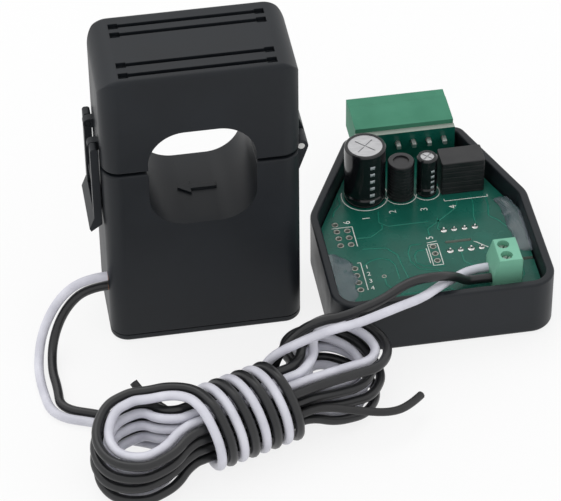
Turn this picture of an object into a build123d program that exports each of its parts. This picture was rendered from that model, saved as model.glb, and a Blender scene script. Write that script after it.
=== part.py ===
from build123d import *
import os
from math import cos, pi, radians, sin, sqrt, tan

# A clip-on current transformer and an open metering module, joined by a white and a
# black lead. Millimetres; +Z is up, +X is to the right, +Y points away from the viewer.
# Both units stand on z = 0, and the origin is the middle of their common footprint.

# Current transformer: outside
ct_w = 45.0
ct_d = 25.0
ct_h = 76.0
ct_split_gap = 0.8
ct_wall = 1.6
ct_deck = 1.2
ct_roof = 2.0
ct_side_round = 4.2
ct_top_round = 5.0
ct_edge_round = 0.9
ct_top_edge = 1.2
ct_cover_t = 1.8
ct_cover_gap = 0.25

# Window for the mains conductor
win_w = 24.5
win_h = 26.5
win_drop = 28.8
split_rise = 2.8
win_round = 8.5
win_wall = 1.5

# Strap slots in the roof
slot_len = 33.0
slot_w = 1.2
slot_depth = 1.1
slot_end = 2.2
slot_rows = (2.6, 6.4, 17.6, 20.8)

# Core, bobbin and winding
core_leg = 6.3
core_d = 12.0
core_gap = 0.1
core_low = 12.0
fit_gap = 0.2
bobbin_len = 21.0
bobbin_wall = 0.8
bobbin_flange = 1.0
winding_t = 3.0
pad_w = 24.0
cover_rim_t = 1.2
cover_rim_h = 3.0
arrow_len = 9.0
arrow_t = 0.5

# Hinge on the right, latch on the left
hinge_out = 0.5
hinge_pin_r = 0.8
knuckle_r = 1.6
knuckle_gap = 0.3
knuckle_from = 3.5
knuckle_to = 21.5
cap_knuckle_from = 8.6
cap_knuckle_to = 16.4
knuckle_ramp = 6.5
turn_gap = 0.08

latch_from = 4.5
latch_w = 16.0
latch_arm = 2.7
latch_t = 1.8
latch_off = 0.35
latch_rise = 4.7
latch_drop = 19.0
latch_bar = 3.2
latch_flare = 1.2
stub_r = 0.6
stub_len = 2.2
ear_w = 2.0
ear_r = 1.2
catch_h = 5.0
catch_out = 1.75

# Leads
lead_d = 2.2
lead_core_d = 1.0
lead_out_y = 4.6
lead_out_white = 17.0
lead_out_black = 14.1
lead_rest = 1.2

# Hank: its middle, its turn from X, and the reach, half width and shift of its loops
hank_at = (-20.3, -59.2)
hank_turn = 19.0
hank_layers = 4
hank_gap = 0.44
pair_side = 1.38
waist_track = 2.76
waist_step = 3.0
waist_half = 12.5
waist_at = -5.0
end_step = 3.2
left_ends = ((37.5, 8.1, 2.4), (37.9, 8.0, 3.1), (37.7, 8.5, 3.1), (37.1, 8.3, 3.2))
right_ends = ((28.4, 9.3, 4.1), (30.6, 9.6, 5.8), (29.0, 9.6, 6.7), (32.6, 8.2, 5.9))
wrap_from = -13.6
wrap_pitch = 5.6
wrap_quarters = 16

# Metering module: tray
tray_w = 52.8
tray_len = 61.0
tray_h = 15.0
tray_side_len = 34.0
tray_rear_w = 28.6
tray_rear_shift = 1.4
tray_wall = 2.0
tray_floor = 1.8
tray_front_round = 6.0
tray_side_round = 8.0
tray_rear_round = 3.0
tray_foot_round = 1.2
post_r = 2.2
post_in = 5.4
rear_post_x = 12.5
rear_post_y = 52.0

# Boards
board_top = 9.8
board_t = 1.6
board_gap = 0.4
riser_t = 1.6
riser_w = 24.6
riser_h = 8.2
tab_w = 3.0
hole_r = 0.5
hole_rows = ((1.5, 20.9), (-20.0, 31.4), (-17.46, 30.1), (-18.2, 15.1))
hole_counts = (3, 4, 3, 4)
via_at = (-11.9, 15.0)
via_r = 0.35
pin_r = 0.3
pin_tip = 0.8
pin_pitch = 2.54
slot_from = 4.6
slot_to = 11.0
slot_y = 24.4
board_slot_w = 0.9
notch_y = 15.5
notch_w = 1.0
notch_len = 5.0

# Six-way header on the upright board
header_ways = 6
header_pitch = 3.81
header_len = 24.3
header_d = 12.4
header_h = 8.4
header_wall = 0.9
header_z = 15.0
header_lip = 3.3
header_pin = 1.0
header_back = 1.5
header_step = 0.25
header_key = 0.8
way_r = 0.75
solder_r = 1.3
solder_h = 1.2
joint_taper = 20.0

# Components, placed by their centres over the tray
large_cap_r = 5.0
large_cap_h = 15.5
large_cap_at = (-11.0, 44.7)
small_cap_r = 2.5
small_cap_h = 11.0
small_cap_at = (4.0, 43.6)
coil_r = 3.25
coil_h = 10.5
coil_at = (-2.35, 43.8)
coil_edge = 0.4
can_edge = 0.3
crimp_z = 2.4
crimp_depth = 0.35
score_w = 0.3
score_depth = 0.2
sleeve_t = 0.15
sleeve_lip = 0.7
converter_w = 10.6
converter_d = 6.2
converter_h = 9.5
converter_at = (12.6, 44.8)
converter_pins = 4
converter_edge = 0.5
chip_at = (9.0, 25.0)
chip_rows = 7.62
chip_ways = 4
chip_len = 9.3
chip_d = 6.3
chip_h = 3.4
chip_gap = 0.6
leg_w = 0.5
leg_t = 0.3
joint_r = 0.95
joint_h = 0.6
glue_h = 1.6
glue_w = 5.5
glue_left_y = (4.0, 25.0)
glue_right_y = (20.5, 38.0)

# Two-way screw terminal
term_pitch = 3.81
term_in = 11.0
term_back = 9.3
term_w = 6.8
term_len = 7.9
term_h = 9.0
term_slope = 1.4
term_edge = 0.3
rib_w = 1.2
rib_out = 0.5
screw_r = 1.3
screw_thread_r = 0.8
screw_head_h = 1.4
screw_slot_w = 0.4
screw_slot_turn = 60.0
well_floor = 0.8
wire_up = 2.5
bar_t = 0.5
bar_w = 1.6
clamp_travel = 1.0
clamp_rest = 0.05
clamp_floor = 0.4
clamp_roof = 0.7
clamp_w = 2.7
clamp_d = 3.9

# Tie: two ends of it, tucked between the hank's wraps and the leads that they hold
tie_d = 1.9
tie_side = 6.2

# Where the units stand
unit_gap = 5.1
ct_setback = 13.8

win_mid = ct_h - win_drop
ct_split = win_mid + split_rise
latch_top = ct_split + latch_rise
latch_bottom = ct_split - latch_drop
term_at = (tray_w / 2 - term_in, term_back)

latch_reach = latch_off + latch_t + latch_flare
riser_y = tray_len - tray_wall - board_gap - riser_t
header_y = riser_y + riser_t
set_w = latch_reach + ct_w + unit_gap + tray_w
set_d = header_y + header_d
ct_x = -set_w / 2 + latch_reach + ct_w / 2
ct_y = -set_d / 2 + ct_setback
tray_x = set_w / 2 - tray_w / 2
tray_y = -set_d / 2

os.makedirs("parts", exist_ok=True)


def ct_level(z):
    """A level plane whose origin is the middle of the transformer's front edge."""
    return Plane(origin=(ct_x, ct_y, z))


def ct_face(y):
    """An upright plane, y behind the transformer's front; its own y is up."""
    return Plane(origin=(ct_x, ct_y + y, 0), x_dir=(1, 0, 0), z_dir=(0, -1, 0))


def ct_side(x):
    """An upright plane, x right of the transformer's middle; its own x runs back."""
    return Plane(origin=(ct_x + x, ct_y, 0), x_dir=(0, 1, 0), z_dir=(1, 0, 0))


def tray_level(z):
    """A level plane whose origin is the middle of the tray's front edge."""
    return Plane(origin=(tray_x, tray_y, z))


def tray_face(y):
    """An upright plane, y behind the tray's front; its own y is up."""
    return Plane(origin=(tray_x, tray_y + y, 0), x_dir=(1, 0, 0), z_dir=(0, -1, 0))


def keep(piece, name):
    """Label a finished piece and write it to its own file."""
    piece.part.label = name
    export_step(piece.part, f"parts/{name}.step")


# Shapes that both halves of the transformer share

ct_mid = ct_d / 2
cap_bottom = ct_split + ct_split_gap / 2
base_top = ct_split - ct_split_gap / 2
base_bottom = ct_cover_t + ct_cover_gap
leg_in = win_w / 2 + win_wall + 0.35
leg_mid = leg_in + core_leg / 2
cavity_w = ct_w - 2 * ct_wall
cavity_d = ct_d - 2 * ct_wall
hinge_x = ct_w / 2 + hinge_out
stub_z = latch_top - latch_t / 2 - 0.3
stub_x = -ct_w / 2 - latch_off - latch_t / 2
ear_gap = 0.2
ear_starts = (
    latch_from + latch_arm + ear_gap,
    latch_from + latch_w - latch_arm - ear_gap - ear_w,
)


def block_outline(z):
    """The transformer's plan, upright edges rounded."""
    with BuildSketch(ct_level(z)) as plan:
        with Locations((0, ct_mid)):
            RectangleRounded(ct_w, ct_d, ct_side_round)
    return plan.sketch


def cavity_outline(z, gap=0.0, rim=0.0):
    """The plan of the hollow inside, less a gap; with a rim, a ring of that width."""
    with BuildSketch(ct_level(z)) as plan:
        wide, deep = cavity_w - 2 * gap, cavity_d - 2 * gap
        turn = ct_side_round - ct_wall - gap
        with Locations((0, ct_mid)):
            RectangleRounded(wide, deep, turn)
            if rim:
                RectangleRounded(
                    wide - 2 * rim, deep - 2 * rim, turn - rim, mode=Mode.SUBTRACT
                )
    return plan.sketch


def window_outline(y, grow, z_low, z_high):
    """The window seen from the front, grown by a wall, between two heights."""
    with BuildSketch(ct_face(y)) as front:
        with Locations((0, win_mid)):
            RectangleRounded(win_w + 2 * grow, win_h + 2 * grow, win_round + grow)
        with Locations((0, (z_low + z_high) / 2)):
            Rectangle(ct_w, z_high - z_low, mode=Mode.INTERSECT)
    return front.sketch


def leg_openings(z):
    """Openings in a deck for the two core legs."""
    with BuildSketch(ct_level(z)) as plan:
        with Locations((-leg_mid, ct_mid), (leg_mid, ct_mid)):
            Rectangle(core_leg + 2 * fit_gap, core_d + 2 * fit_gap)
    return plan.sketch


def knuckle_outline(y, lean):
    """A hinge knuckle whose ramp runs back to the wall, up (1) or down (-1)."""
    with BuildSketch(ct_face(y)) as end:
        with Locations((hinge_x, ct_split)):
            Circle(knuckle_r)
        with BuildLine():
            Polyline(
                (ct_w / 2 - ct_wall / 2, ct_split + lean * ct_split_gap),
                (hinge_x + 0.9 * knuckle_r, ct_split + lean * ct_split_gap),
                (ct_w / 2, ct_split + lean * knuckle_ramp),
                (ct_w / 2 - ct_wall / 2, ct_split + lean * knuckle_ramp),
                close=True,
            )
        make_face()
    return end.sketch


def hinge_circle(y, radius):
    """A circle round the hinge's axis."""
    with BuildSketch(ct_face(y)) as end:
        with Locations((hinge_x, ct_split)):
            Circle(radius)
    return end.sketch


def core_outline(z_limb, z_face):
    """Half of the core, a limb between z_limb and the faces of its two legs."""
    lean = 1 if z_face > z_limb else -1
    with BuildSketch(ct_face(ct_mid - core_d / 2)) as front:
        with Locations((0, (z_limb + z_face) / 2)):
            Rectangle(2 * (leg_in + core_leg), abs(z_face - z_limb))
        with Locations((0, (z_limb + z_face) / 2 + lean * core_leg)):
            Rectangle(2 * leg_in, abs(z_face - z_limb), mode=Mode.SUBTRACT)
    return front.sketch


# Base shell: hollow, open below, with the window's lower half and the catch

catch_low = latch_bottom + latch_bar + 0.4
catch_from = latch_from + latch_arm + 0.9
catch_w = latch_w - 2 * latch_arm - 1.8
sleeve_low = win_mid - win_h / 2 - win_wall
sleeve_high = win_mid + win_h / 2 + win_wall

with BuildPart() as ct_base_shell:
    extrude(block_outline(base_bottom), amount=base_top - base_bottom)
    hollow = base_top - ct_deck - base_bottom
    extrude(cavity_outline(base_bottom), amount=hollow, mode=Mode.SUBTRACT)
    sleeve = window_outline(ct_wall / 2, win_wall, sleeve_low, base_top)
    extrude(sleeve, amount=-(ct_d - ct_wall))
    window = window_outline(0, 0, sleeve_low, base_top)
    extrude(window, amount=-ct_d, mode=Mode.SUBTRACT)
    fillet(ct_base_shell.faces().sort_by(Axis.Z)[-2:].edges(), ct_edge_round / 2)
    extrude(leg_openings(base_top), amount=-ct_deck, mode=Mode.SUBTRACT)
    extrude(knuckle_outline(knuckle_from, -1),
            amount=-(cap_knuckle_from - knuckle_gap - knuckle_from))
    extrude(knuckle_outline(cap_knuckle_to + knuckle_gap, -1),
            amount=-(knuckle_to - knuckle_gap - cap_knuckle_to))
    extrude(hinge_circle(cap_knuckle_from - knuckle_gap, knuckle_r + knuckle_gap),
            amount=-(cap_knuckle_to - cap_knuckle_from + 2 * knuckle_gap),
            mode=Mode.SUBTRACT)
    extrude(hinge_circle(knuckle_from, hinge_pin_r),
            amount=-(knuckle_to - knuckle_from), mode=Mode.SUBTRACT)
    with BuildSketch(ct_face(catch_from)):
        with BuildLine():
            Polyline(
                (-ct_w / 2 + ct_wall / 2, catch_low),
                (-ct_w / 2 - 0.1, catch_low),
                (-ct_w / 2 - catch_out, catch_low + catch_h),
                (-ct_w / 2 - catch_out, catch_low + catch_h + 1.0),
                (-ct_w / 2, catch_low + catch_h + 2.8),
                (-ct_w / 2 + ct_wall / 2, catch_low + catch_h + 2.8),
                close=True,
            )
        make_face()
    extrude(amount=-catch_w)
    with BuildSketch(ct_side(-ct_w / 2 - 1)):
        with Locations((lead_out_y, lead_out_white), (lead_out_y, lead_out_black)):
            Circle(lead_d / 2)
    extrude(amount=ct_wall + 2, mode=Mode.SUBTRACT)
    with BuildSketch(ct_level(sleeve_low + win_wall / 2)):
        with BuildLine():
            Polyline(
                (-arrow_len / 2, ct_mid),
                (-arrow_len / 6, ct_mid + arrow_len / 4),
                (-arrow_len / 6, ct_mid + arrow_len / 12),
                (arrow_len / 2, ct_mid + arrow_len / 12),
                (arrow_len / 2, ct_mid - arrow_len / 12),
                (-arrow_len / 6, ct_mid - arrow_len / 12),
                (-arrow_len / 6, ct_mid - arrow_len / 4),
                close=True,
            )
        make_face()
    extrude(amount=win_wall / 2 + arrow_t)
keep(ct_base_shell, "ct_base_shell")

# Bottom cover: a plate with a rim that fits inside the base shell

with BuildPart() as ct_bottom_cover:
    extrude(block_outline(0), amount=ct_cover_t)
    fillet(ct_bottom_cover.faces().sort_by(Axis.Z)[0].edges(), ct_edge_round)
    extrude(cavity_outline(ct_cover_t, fit_gap, cover_rim_t), amount=cover_rim_h)
keep(ct_bottom_cover, "ct_bottom_cover")

# Cap shell: the hinged top with the window's upper half, strap slots and latch ears

cavity_top = ct_h - ct_roof
with BuildPart() as cap_hollow:
    with BuildSketch(ct_face(0)):
        with Locations((0, (cavity_top + cap_bottom + ct_deck) / 2)):
            Rectangle(cavity_w, cavity_top - cap_bottom - ct_deck)
        fillet(vertices().group_by(Axis.Y)[-1], ct_top_round - ct_wall)
        with Locations((0, win_mid)):
            RectangleRounded(win_w + 2 * win_wall, win_h + 2 * win_wall,
                             win_round + win_wall, mode=Mode.SUBTRACT)
    extrude(amount=-ct_d)
    extrude(cavity_outline(cap_bottom), amount=ct_h, mode=Mode.INTERSECT)

with BuildPart() as ct_cap_shell:
    with BuildSketch(ct_face(0)):
        with Locations((0, (ct_h + cap_bottom) / 2)):
            Rectangle(ct_w, ct_h - cap_bottom)
        fillet(vertices().group_by(Axis.Y)[-1], ct_top_round)
    extrude(amount=-ct_d)
    rims = ct_cap_shell.edges().filter_by(
        lambda edge: abs(edge.center().Y - ct_y - ct_mid) > ct_mid - ct_wall
        and edge.center().Z > cap_bottom + ct_wall
    )
    fillet(rims, ct_top_edge)
    extrude(block_outline(cap_bottom), amount=ct_h - cap_bottom, mode=Mode.INTERSECT)
    add(cap_hollow.part, mode=Mode.SUBTRACT)
    window = window_outline(0, 0, cap_bottom, sleeve_high)
    extrude(window, amount=-ct_d, mode=Mode.SUBTRACT)
    fillet(ct_cap_shell.faces().sort_by(Axis.Z)[:2].edges(), ct_edge_round / 2)
    extrude(leg_openings(cap_bottom), amount=ct_deck, mode=Mode.SUBTRACT)
    extrude(knuckle_outline(cap_knuckle_from, 1),
            amount=-(cap_knuckle_to - cap_knuckle_from))
    room = knuckle_r + knuckle_gap
    extrude(hinge_circle(knuckle_from - knuckle_gap, room),
            amount=-(cap_knuckle_from - knuckle_from + knuckle_gap),
            mode=Mode.SUBTRACT)
    extrude(hinge_circle(cap_knuckle_to, room),
            amount=-(knuckle_to - cap_knuckle_to + knuckle_gap), mode=Mode.SUBTRACT)
    extrude(hinge_circle(cap_knuckle_from, hinge_pin_r + turn_gap),
            amount=-(cap_knuckle_to - cap_knuckle_from), mode=Mode.SUBTRACT)
    with BuildSketch(ct_level(ct_h)):
        for row in slot_rows:
            with Locations((0, row)):
                Rectangle(slot_len, slot_w)
            with Locations((-slot_len / 2, row), (slot_len / 2, row)):
                Rectangle(slot_end, slot_w * 1.6)
    extrude(amount=-slot_depth, mode=Mode.SUBTRACT)
    for ear_from in ear_starts:
        with BuildSketch(ct_face(ear_from)):
            with Locations((stub_x, stub_z)):
                Circle(ear_r)
            with Locations(((stub_x - ct_w / 2 + ct_wall / 2) / 2, stub_z)):
                Rectangle(ct_w / 2 - ct_wall / 2 + stub_x, 2 * ear_r)
            with Locations((stub_x, stub_z)):
                Circle(stub_r + turn_gap, mode=Mode.SUBTRACT)
        extrude(amount=-ear_w)
keep(ct_cap_shell, "ct_cap_shell")

# Hinge pin: pressed into the base's knuckles, free in the cap's

with BuildPart() as hinge_pin:
    extrude(hinge_circle(knuckle_from, hinge_pin_r), amount=-(knuckle_to - knuckle_from))
keep(hinge_pin, "hinge_pin")

# Latch clip: a loop hung on two stubs, with a flared bar to pull

latch_in = -ct_w / 2 - latch_off
latch_out = latch_in - latch_t
with BuildPart() as latch_clip:
    with BuildSketch(ct_side(latch_out)):
        with Locations((latch_from + latch_w / 2, (latch_top + latch_bottom + latch_bar) / 2)):
            Rectangle(latch_w, latch_top - latch_bottom - latch_bar)
            Rectangle(latch_w - 2 * latch_arm, latch_top, mode=Mode.SUBTRACT)
    extrude(amount=latch_t)
    fillet(latch_clip.edges().filter_by(Axis.Y).group_by(Axis.Z)[-1], latch_t * 0.4)
    with BuildSketch(ct_face(latch_from)):
        with BuildLine():
            Polyline(
                (latch_in, latch_bottom + latch_bar),
                (latch_in, latch_bottom + 0.6 * latch_bar),
                (latch_out - 0.7 * latch_flare, latch_bottom),
                (latch_out - latch_flare, latch_bottom + 0.25 * latch_bar),
                (latch_out, latch_bottom + 1.2 * latch_bar),
                (latch_out, latch_bottom + 1.3 * latch_bar),
                (latch_in, latch_bottom + latch_bar),
                close=True,
            )
        make_face()
    extrude(amount=-latch_w)
    with BuildSketch(ct_face(latch_from + latch_arm)):
        with Locations((stub_x, stub_z)):
            Circle(stub_r)
    extrude(amount=-stub_len)
    with BuildSketch(ct_face(latch_from + latch_w - latch_arm - stub_len)):
        with Locations((stub_x, stub_z)):
            Circle(stub_r)
    extrude(amount=-stub_len)
keep(latch_clip, "latch_clip")

# Core: two U-shaped halves that meet at the split

with BuildPart() as core_lower:
    extrude(core_outline(core_low, ct_split - core_gap / 2), amount=-core_d)
keep(core_lower, "core_lower")

core_high = sleeve_high + leg_in - win_w / 2 - win_wall + core_leg
with BuildPart() as core_upper:
    extrude(core_outline(core_high, ct_split + core_gap / 2), amount=-core_d)
keep(core_upper, "core_upper")

# Pad: presses the upper core half down on the lower one

with BuildPart() as core_pad:
    with BuildSketch(ct_level(core_high)):
        with Locations((0, ct_mid)):
            Rectangle(pad_w, core_d)
    extrude(amount=cavity_top - core_high)
keep(core_pad, "core_pad")

# Bobbin and winding on the lower limb


def limb_outline(x, grow, inner):
    """A ring round the lower limb, seen from the side."""
    with BuildSketch(ct_side(x)) as end:
        with Locations((ct_mid, core_low + core_leg / 2)):
            Rectangle(core_d + 2 * grow, core_leg + 2 * grow)
            Rectangle(core_d + 2 * inner, core_leg + 2 * inner, mode=Mode.SUBTRACT)
    return end.sketch


tube_grow = fit_gap + bobbin_wall
flange_grow = tube_grow + winding_t + 0.3
with BuildPart() as bobbin:
    extrude(limb_outline(-bobbin_len / 2, tube_grow, fit_gap), amount=bobbin_len)
    extrude(limb_outline(-bobbin_len / 2, flange_grow, fit_gap), amount=bobbin_flange)
    extrude(limb_outline(bobbin_len / 2, flange_grow, fit_gap), amount=-bobbin_flange)
keep(bobbin, "bobbin")

with BuildPart() as secondary_winding:
    winding_from = -bobbin_len / 2 + bobbin_flange
    extrude(limb_outline(winding_from, tube_grow + winding_t, tube_grow),
            amount=bobbin_len - 2 * bobbin_flange)
    fillet(secondary_winding.edges().filter_by(Axis.X).group_by(
        lambda edge: round(abs(edge.center().Z - core_low - core_leg / 2), 2))[-1],
        winding_t / 2)
keep(secondary_winding, "secondary_winding")

# Winding pins and the leads' soldered tails inside the shell

tail_bare = 1.0
tail_end = -bobbin_len / 2 - 2.5


def lead_exits(x, radius):
    """Circles at the two lead holes, seen from the side."""
    with BuildSketch(ct_side(x)) as end:
        with Locations((lead_out_y, lead_out_white), (lead_out_y, lead_out_black)):
            Circle(radius)
    return end.sketch


with BuildPart() as winding_pins:
    extrude(lead_exits(tail_end, lead_core_d / 2), amount=-bobbin_len / 2 - tail_end)
keep(winding_pins, "winding_pins")

with BuildPart() as lead_tails:
    skin_end = tail_end - tail_bare
    extrude(lead_exits(-ct_w / 2, lead_d / 2), amount=skin_end + ct_w / 2)
    extrude(lead_exits(skin_end, lead_core_d / 2), amount=tail_bare)
keep(lead_tails, "lead_tails")

# Tray: an open six-sided box, narrower at the rear, with posts for the board

board_low = board_top - board_t


def tray_outline(z, inset):
    """The tray's plan, moved in by a wall."""
    right = tray_rear_shift + tray_rear_w / 2
    left = tray_rear_shift - tray_rear_w / 2
    with BuildSketch(tray_level(z)) as plan:
        with BuildLine():
            Polyline(
                (-tray_w / 2, 0),
                (tray_w / 2, 0),
                (tray_w / 2, tray_side_len),
                (right, tray_len),
                (left, tray_len),
                (-tray_w / 2, tray_side_len),
                close=True,
            )
        make_face()
        if inset:
            offset(amount=-inset, kind=Kind.INTERSECTION)
        fillet(plan.vertices().group_by(Axis.Y)[-1], tray_rear_round - inset)
        fillet(plan.vertices().group_by(Axis.Y)[0], tray_front_round - inset)
        side_corners = plan.vertices().filter_by(
            lambda corner: abs(corner.Y - tray_side_len) < tray_wall
        )
        fillet(side_corners, tray_side_round - inset)
    return plan.sketch


post_places = (
    (post_in - tray_w / 2, post_in),
    (tray_w / 2 - post_in, post_in),
    (tray_rear_shift - rear_post_x, rear_post_y),
    (tray_rear_shift + rear_post_x, rear_post_y),
)
header_x = tray_rear_shift
with BuildPart() as tray:
    extrude(tray_outline(0, 0), amount=tray_h)
    fillet(tray.faces().sort_by(Axis.Z)[0].edges(), tray_foot_round)
    extrude(tray_outline(tray_floor, tray_wall), amount=tray_h, mode=Mode.SUBTRACT)
    fillet(tray.faces().sort_by(Axis.Z)[-1].edges(), tray_wall / 4)
    with BuildSketch(tray_level(tray_floor)):
        with Locations(*post_places):
            Circle(post_r)
    extrude(amount=board_low - tray_floor)
    with BuildSketch(tray_face(header_y - fit_gap)):
        with Locations((header_x, header_z + tray_h / 2)):
            Rectangle(header_len + 2 * fit_gap, header_h + 2 * fit_gap + tray_h)
    extrude(amount=-(tray_wall + 2), mode=Mode.SUBTRACT)
keep(tray, "tray")

# Places of pins and holes on the boards


def row_of(count, pitch, middle):
    """Places along a row, evenly spaced about its middle."""
    return [middle + (number - (count - 1) / 2) * pitch for number in range(count)]


chip_places = [
    (x, y)
    for x in row_of(chip_ways, pin_pitch, chip_at[0])
    for y in row_of(2, chip_rows, chip_at[1])
]
free_holes = [
    (x, y)
    for (x, middle), count in zip(hole_rows, hole_counts)
    for y in row_of(count, pin_pitch, middle)
]
way_places = [(x, header_z) for x in row_of(header_ways, header_pitch, header_x)]
poles = row_of(2, term_pitch, term_at[1])
bar_leg_x = term_at[0] + clamp_d / 2 + fit_gap
part_pins = (
    [(x, large_cap_at[1]) for x in row_of(2, large_cap_r, large_cap_at[0])]
    + [(x, small_cap_at[1]) for x in row_of(2, small_cap_r, small_cap_at[0])]
    + [(coil_at[0], y) for y in row_of(2, coil_r, coil_at[1])]
    + [(x, converter_at[1] - 1) for x in row_of(converter_pins, pin_pitch, converter_at[0])]
)
bar_pins = [(bar_leg_x + bar_t / 2, pole) for pole in poles]
tab_places = [(x, board_low + board_t / 2) for x in row_of(2, riser_w * 0.6, header_x)]

# Main board: holes, an isolation slot by the chip and a notch in its right edge

with BuildPart() as main_board:
    extrude(tray_outline(board_low, tray_wall + board_gap), amount=board_t)
    with BuildSketch(tray_level(board_low)):
        with Locations(*chip_places, *free_holes, *part_pins, *bar_pins):
            Circle(hole_r)
        with Locations(via_at):
            Circle(via_r)
        with Locations(((slot_from + slot_to) / 2, slot_y)):
            SlotOverall(slot_to - slot_from, board_slot_w)
        with Locations((tray_w / 2 - tray_wall - board_gap, notch_y)):
            SlotOverall(2 * notch_len, notch_w)
    extrude(amount=board_t, mode=Mode.SUBTRACT)
    with BuildSketch(tray_face(riser_y)):
        with Locations(*tab_places):
            Rectangle(tab_w, board_t)
    extrude(amount=-riser_t, mode=Mode.SUBTRACT)
keep(main_board, "main_board")

# Terminal board: stands on the main board and carries the header

with BuildPart() as terminal_board:
    with BuildSketch(tray_face(riser_y)):
        with Locations((header_x, board_top + riser_h / 2)):
            Rectangle(riser_w, riser_h)
        with Locations(*tab_places):
            Rectangle(tab_w, board_t)
        with Locations(*way_places):
            Circle(way_r, mode=Mode.SUBTRACT)
    extrude(amount=-riser_t)
keep(terminal_board, "terminal_board")

# Header: a shroud open to the rear, six pins and their solder joints

with BuildPart() as header_body:
    with BuildSketch(tray_face(header_y)):
        with Locations((header_x, header_z)):
            Rectangle(header_len, header_h)
    extrude(amount=-header_d)
    with BuildSketch(tray_face(header_y + header_back)):
        with Locations((header_x, header_z)):
            Rectangle(header_len - 2 * header_wall, header_h - 2 * header_wall)
    extrude(amount=-header_d, mode=Mode.SUBTRACT)
    with BuildSketch(tray_level(header_z + header_h / 2)):
        with Locations((header_x, header_y + header_d - header_lip / 2)):
            Rectangle(header_len, header_lip)
    extrude(amount=-header_step, mode=Mode.SUBTRACT)
    with BuildSketch(tray_face(header_y + header_back)):
        for x, z in way_places:
            with Locations((x, z - header_h / 2 + header_wall + header_key / 2)):
                Rectangle(header_key, header_key)
    extrude(amount=-(header_d - header_back - header_lip))
    with BuildSketch(tray_face(header_y)):
        with Locations(*way_places):
            Rectangle(header_pin, header_pin)
    extrude(amount=-header_back, mode=Mode.SUBTRACT)
keep(header_body, "header_body")

with BuildPart() as header_pins:
    with BuildSketch(tray_face(riser_y - solder_h - pin_tip)):
        with Locations(*way_places):
            Rectangle(header_pin, header_pin)
    extrude(amount=-(header_d - header_lip / 2 + riser_t + solder_h + pin_tip))
keep(header_pins, "header_pins")

with BuildPart() as header_solder_joints:
    with BuildSketch(tray_face(riser_y)):
        with Locations(*way_places):
            Circle(solder_r)
    extrude(amount=solder_h, taper=joint_taper)
    with BuildSketch(tray_face(riser_y)):
        with Locations(*way_places):
            Circle(way_r)
    extrude(amount=-riser_t)
    add(header_pins.part, mode=Mode.SUBTRACT)
keep(header_solder_joints, "header_solder_joints")

# Capacitors: cans with a crimp groove and a scored top, in thin sleeves


def can_profile(place, radius, height, grow):
    """Half of a can's section, to turn round its own axis."""
    x, y = place
    side = x + radius + grow
    with BuildSketch(tray_face(y)) as half:
        with BuildLine():
            Polyline(
                (x, board_top),
                (side - can_edge, board_top),
                (side, board_top + can_edge),
                (side, board_top + crimp_z - crimp_depth),
                (side - crimp_depth, board_top + crimp_z),
                (side, board_top + crimp_z + crimp_depth),
                (side, board_top + height + grow - can_edge),
                (side - can_edge, board_top + height + grow),
                (x, board_top + height + grow),
                close=True,
            )
        make_face()
    return half.sketch


def upright_axis(place):
    """The upright line through a place over the tray."""
    return Axis((tray_x + place[0], tray_y + place[1], 0), (0, 0, 1))


def score_outline(place, radius, height):
    """The cross pressed into a can's top."""
    with BuildSketch(tray_level(board_top + height)) as cross:
        with Locations(place):
            Rectangle(1.2 * radius, score_w, rotation=45)
            Rectangle(1.2 * radius, score_w, rotation=-45)
    return cross.sketch


with BuildPart() as large_capacitor_can:
    can_r = large_cap_r - sleeve_t
    revolve(can_profile(large_cap_at, can_r, large_cap_h, 0), upright_axis(large_cap_at))
    extrude(score_outline(large_cap_at, can_r, large_cap_h), amount=-score_depth,
            mode=Mode.SUBTRACT)
keep(large_capacitor_can, "large_capacitor_can")

with BuildPart() as large_capacitor_sleeve:
    revolve(can_profile(large_cap_at, can_r, large_cap_h, sleeve_t),
            upright_axis(large_cap_at))
    with BuildSketch(tray_level(board_top)):
        with Locations(large_cap_at):
            Circle(can_r - sleeve_lip)
    extrude(amount=2 * large_cap_h, mode=Mode.SUBTRACT)
    revolve(can_profile(large_cap_at, can_r, large_cap_h, 0), upright_axis(large_cap_at),
            mode=Mode.SUBTRACT)
keep(large_capacitor_sleeve, "large_capacitor_sleeve")

with BuildPart() as small_capacitor_can:
    can_r = small_cap_r - sleeve_t
    revolve(can_profile(small_cap_at, can_r, small_cap_h, 0), upright_axis(small_cap_at))
    extrude(score_outline(small_cap_at, can_r, small_cap_h), amount=-score_depth,
            mode=Mode.SUBTRACT)
keep(small_capacitor_can, "small_capacitor_can")

with BuildPart() as small_capacitor_sleeve:
    revolve(can_profile(small_cap_at, can_r, small_cap_h, sleeve_t),
            upright_axis(small_cap_at))
    with BuildSketch(tray_level(board_top)):
        with Locations(small_cap_at):
            Circle(can_r - sleeve_lip)
    extrude(amount=2 * small_cap_h, mode=Mode.SUBTRACT)
    revolve(can_profile(small_cap_at, can_r, small_cap_h, 0), upright_axis(small_cap_at),
            mode=Mode.SUBTRACT)
keep(small_capacitor_sleeve, "small_capacitor_sleeve")

# Inductor: a sleeved drum with a dimple in its top

with BuildPart() as inductor:
    with BuildSketch(tray_level(board_top)):
        with Locations(coil_at):
            Circle(coil_r)
    extrude(amount=coil_h)
    fillet(inductor.edges().group_by(Axis.Z)[-1], coil_edge)
    with BuildSketch(tray_level(board_top + coil_h)):
        with Locations(coil_at):
            Circle(coil_r * 0.6)
    extrude(amount=-coil_edge, mode=Mode.SUBTRACT)
keep(inductor, "inductor")

# Power converter: a potted block

with BuildPart() as power_converter:
    with BuildSketch(tray_level(board_top)):
        with Locations(converter_at):
            Rectangle(converter_w, converter_d)
    extrude(amount=converter_h)
    fillet(power_converter.edges().filter_by(Axis.Z), converter_edge)
    fillet(power_converter.faces().sort_by(Axis.Z)[-1].edges(), converter_edge / 2)
keep(power_converter, "power_converter")

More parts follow.
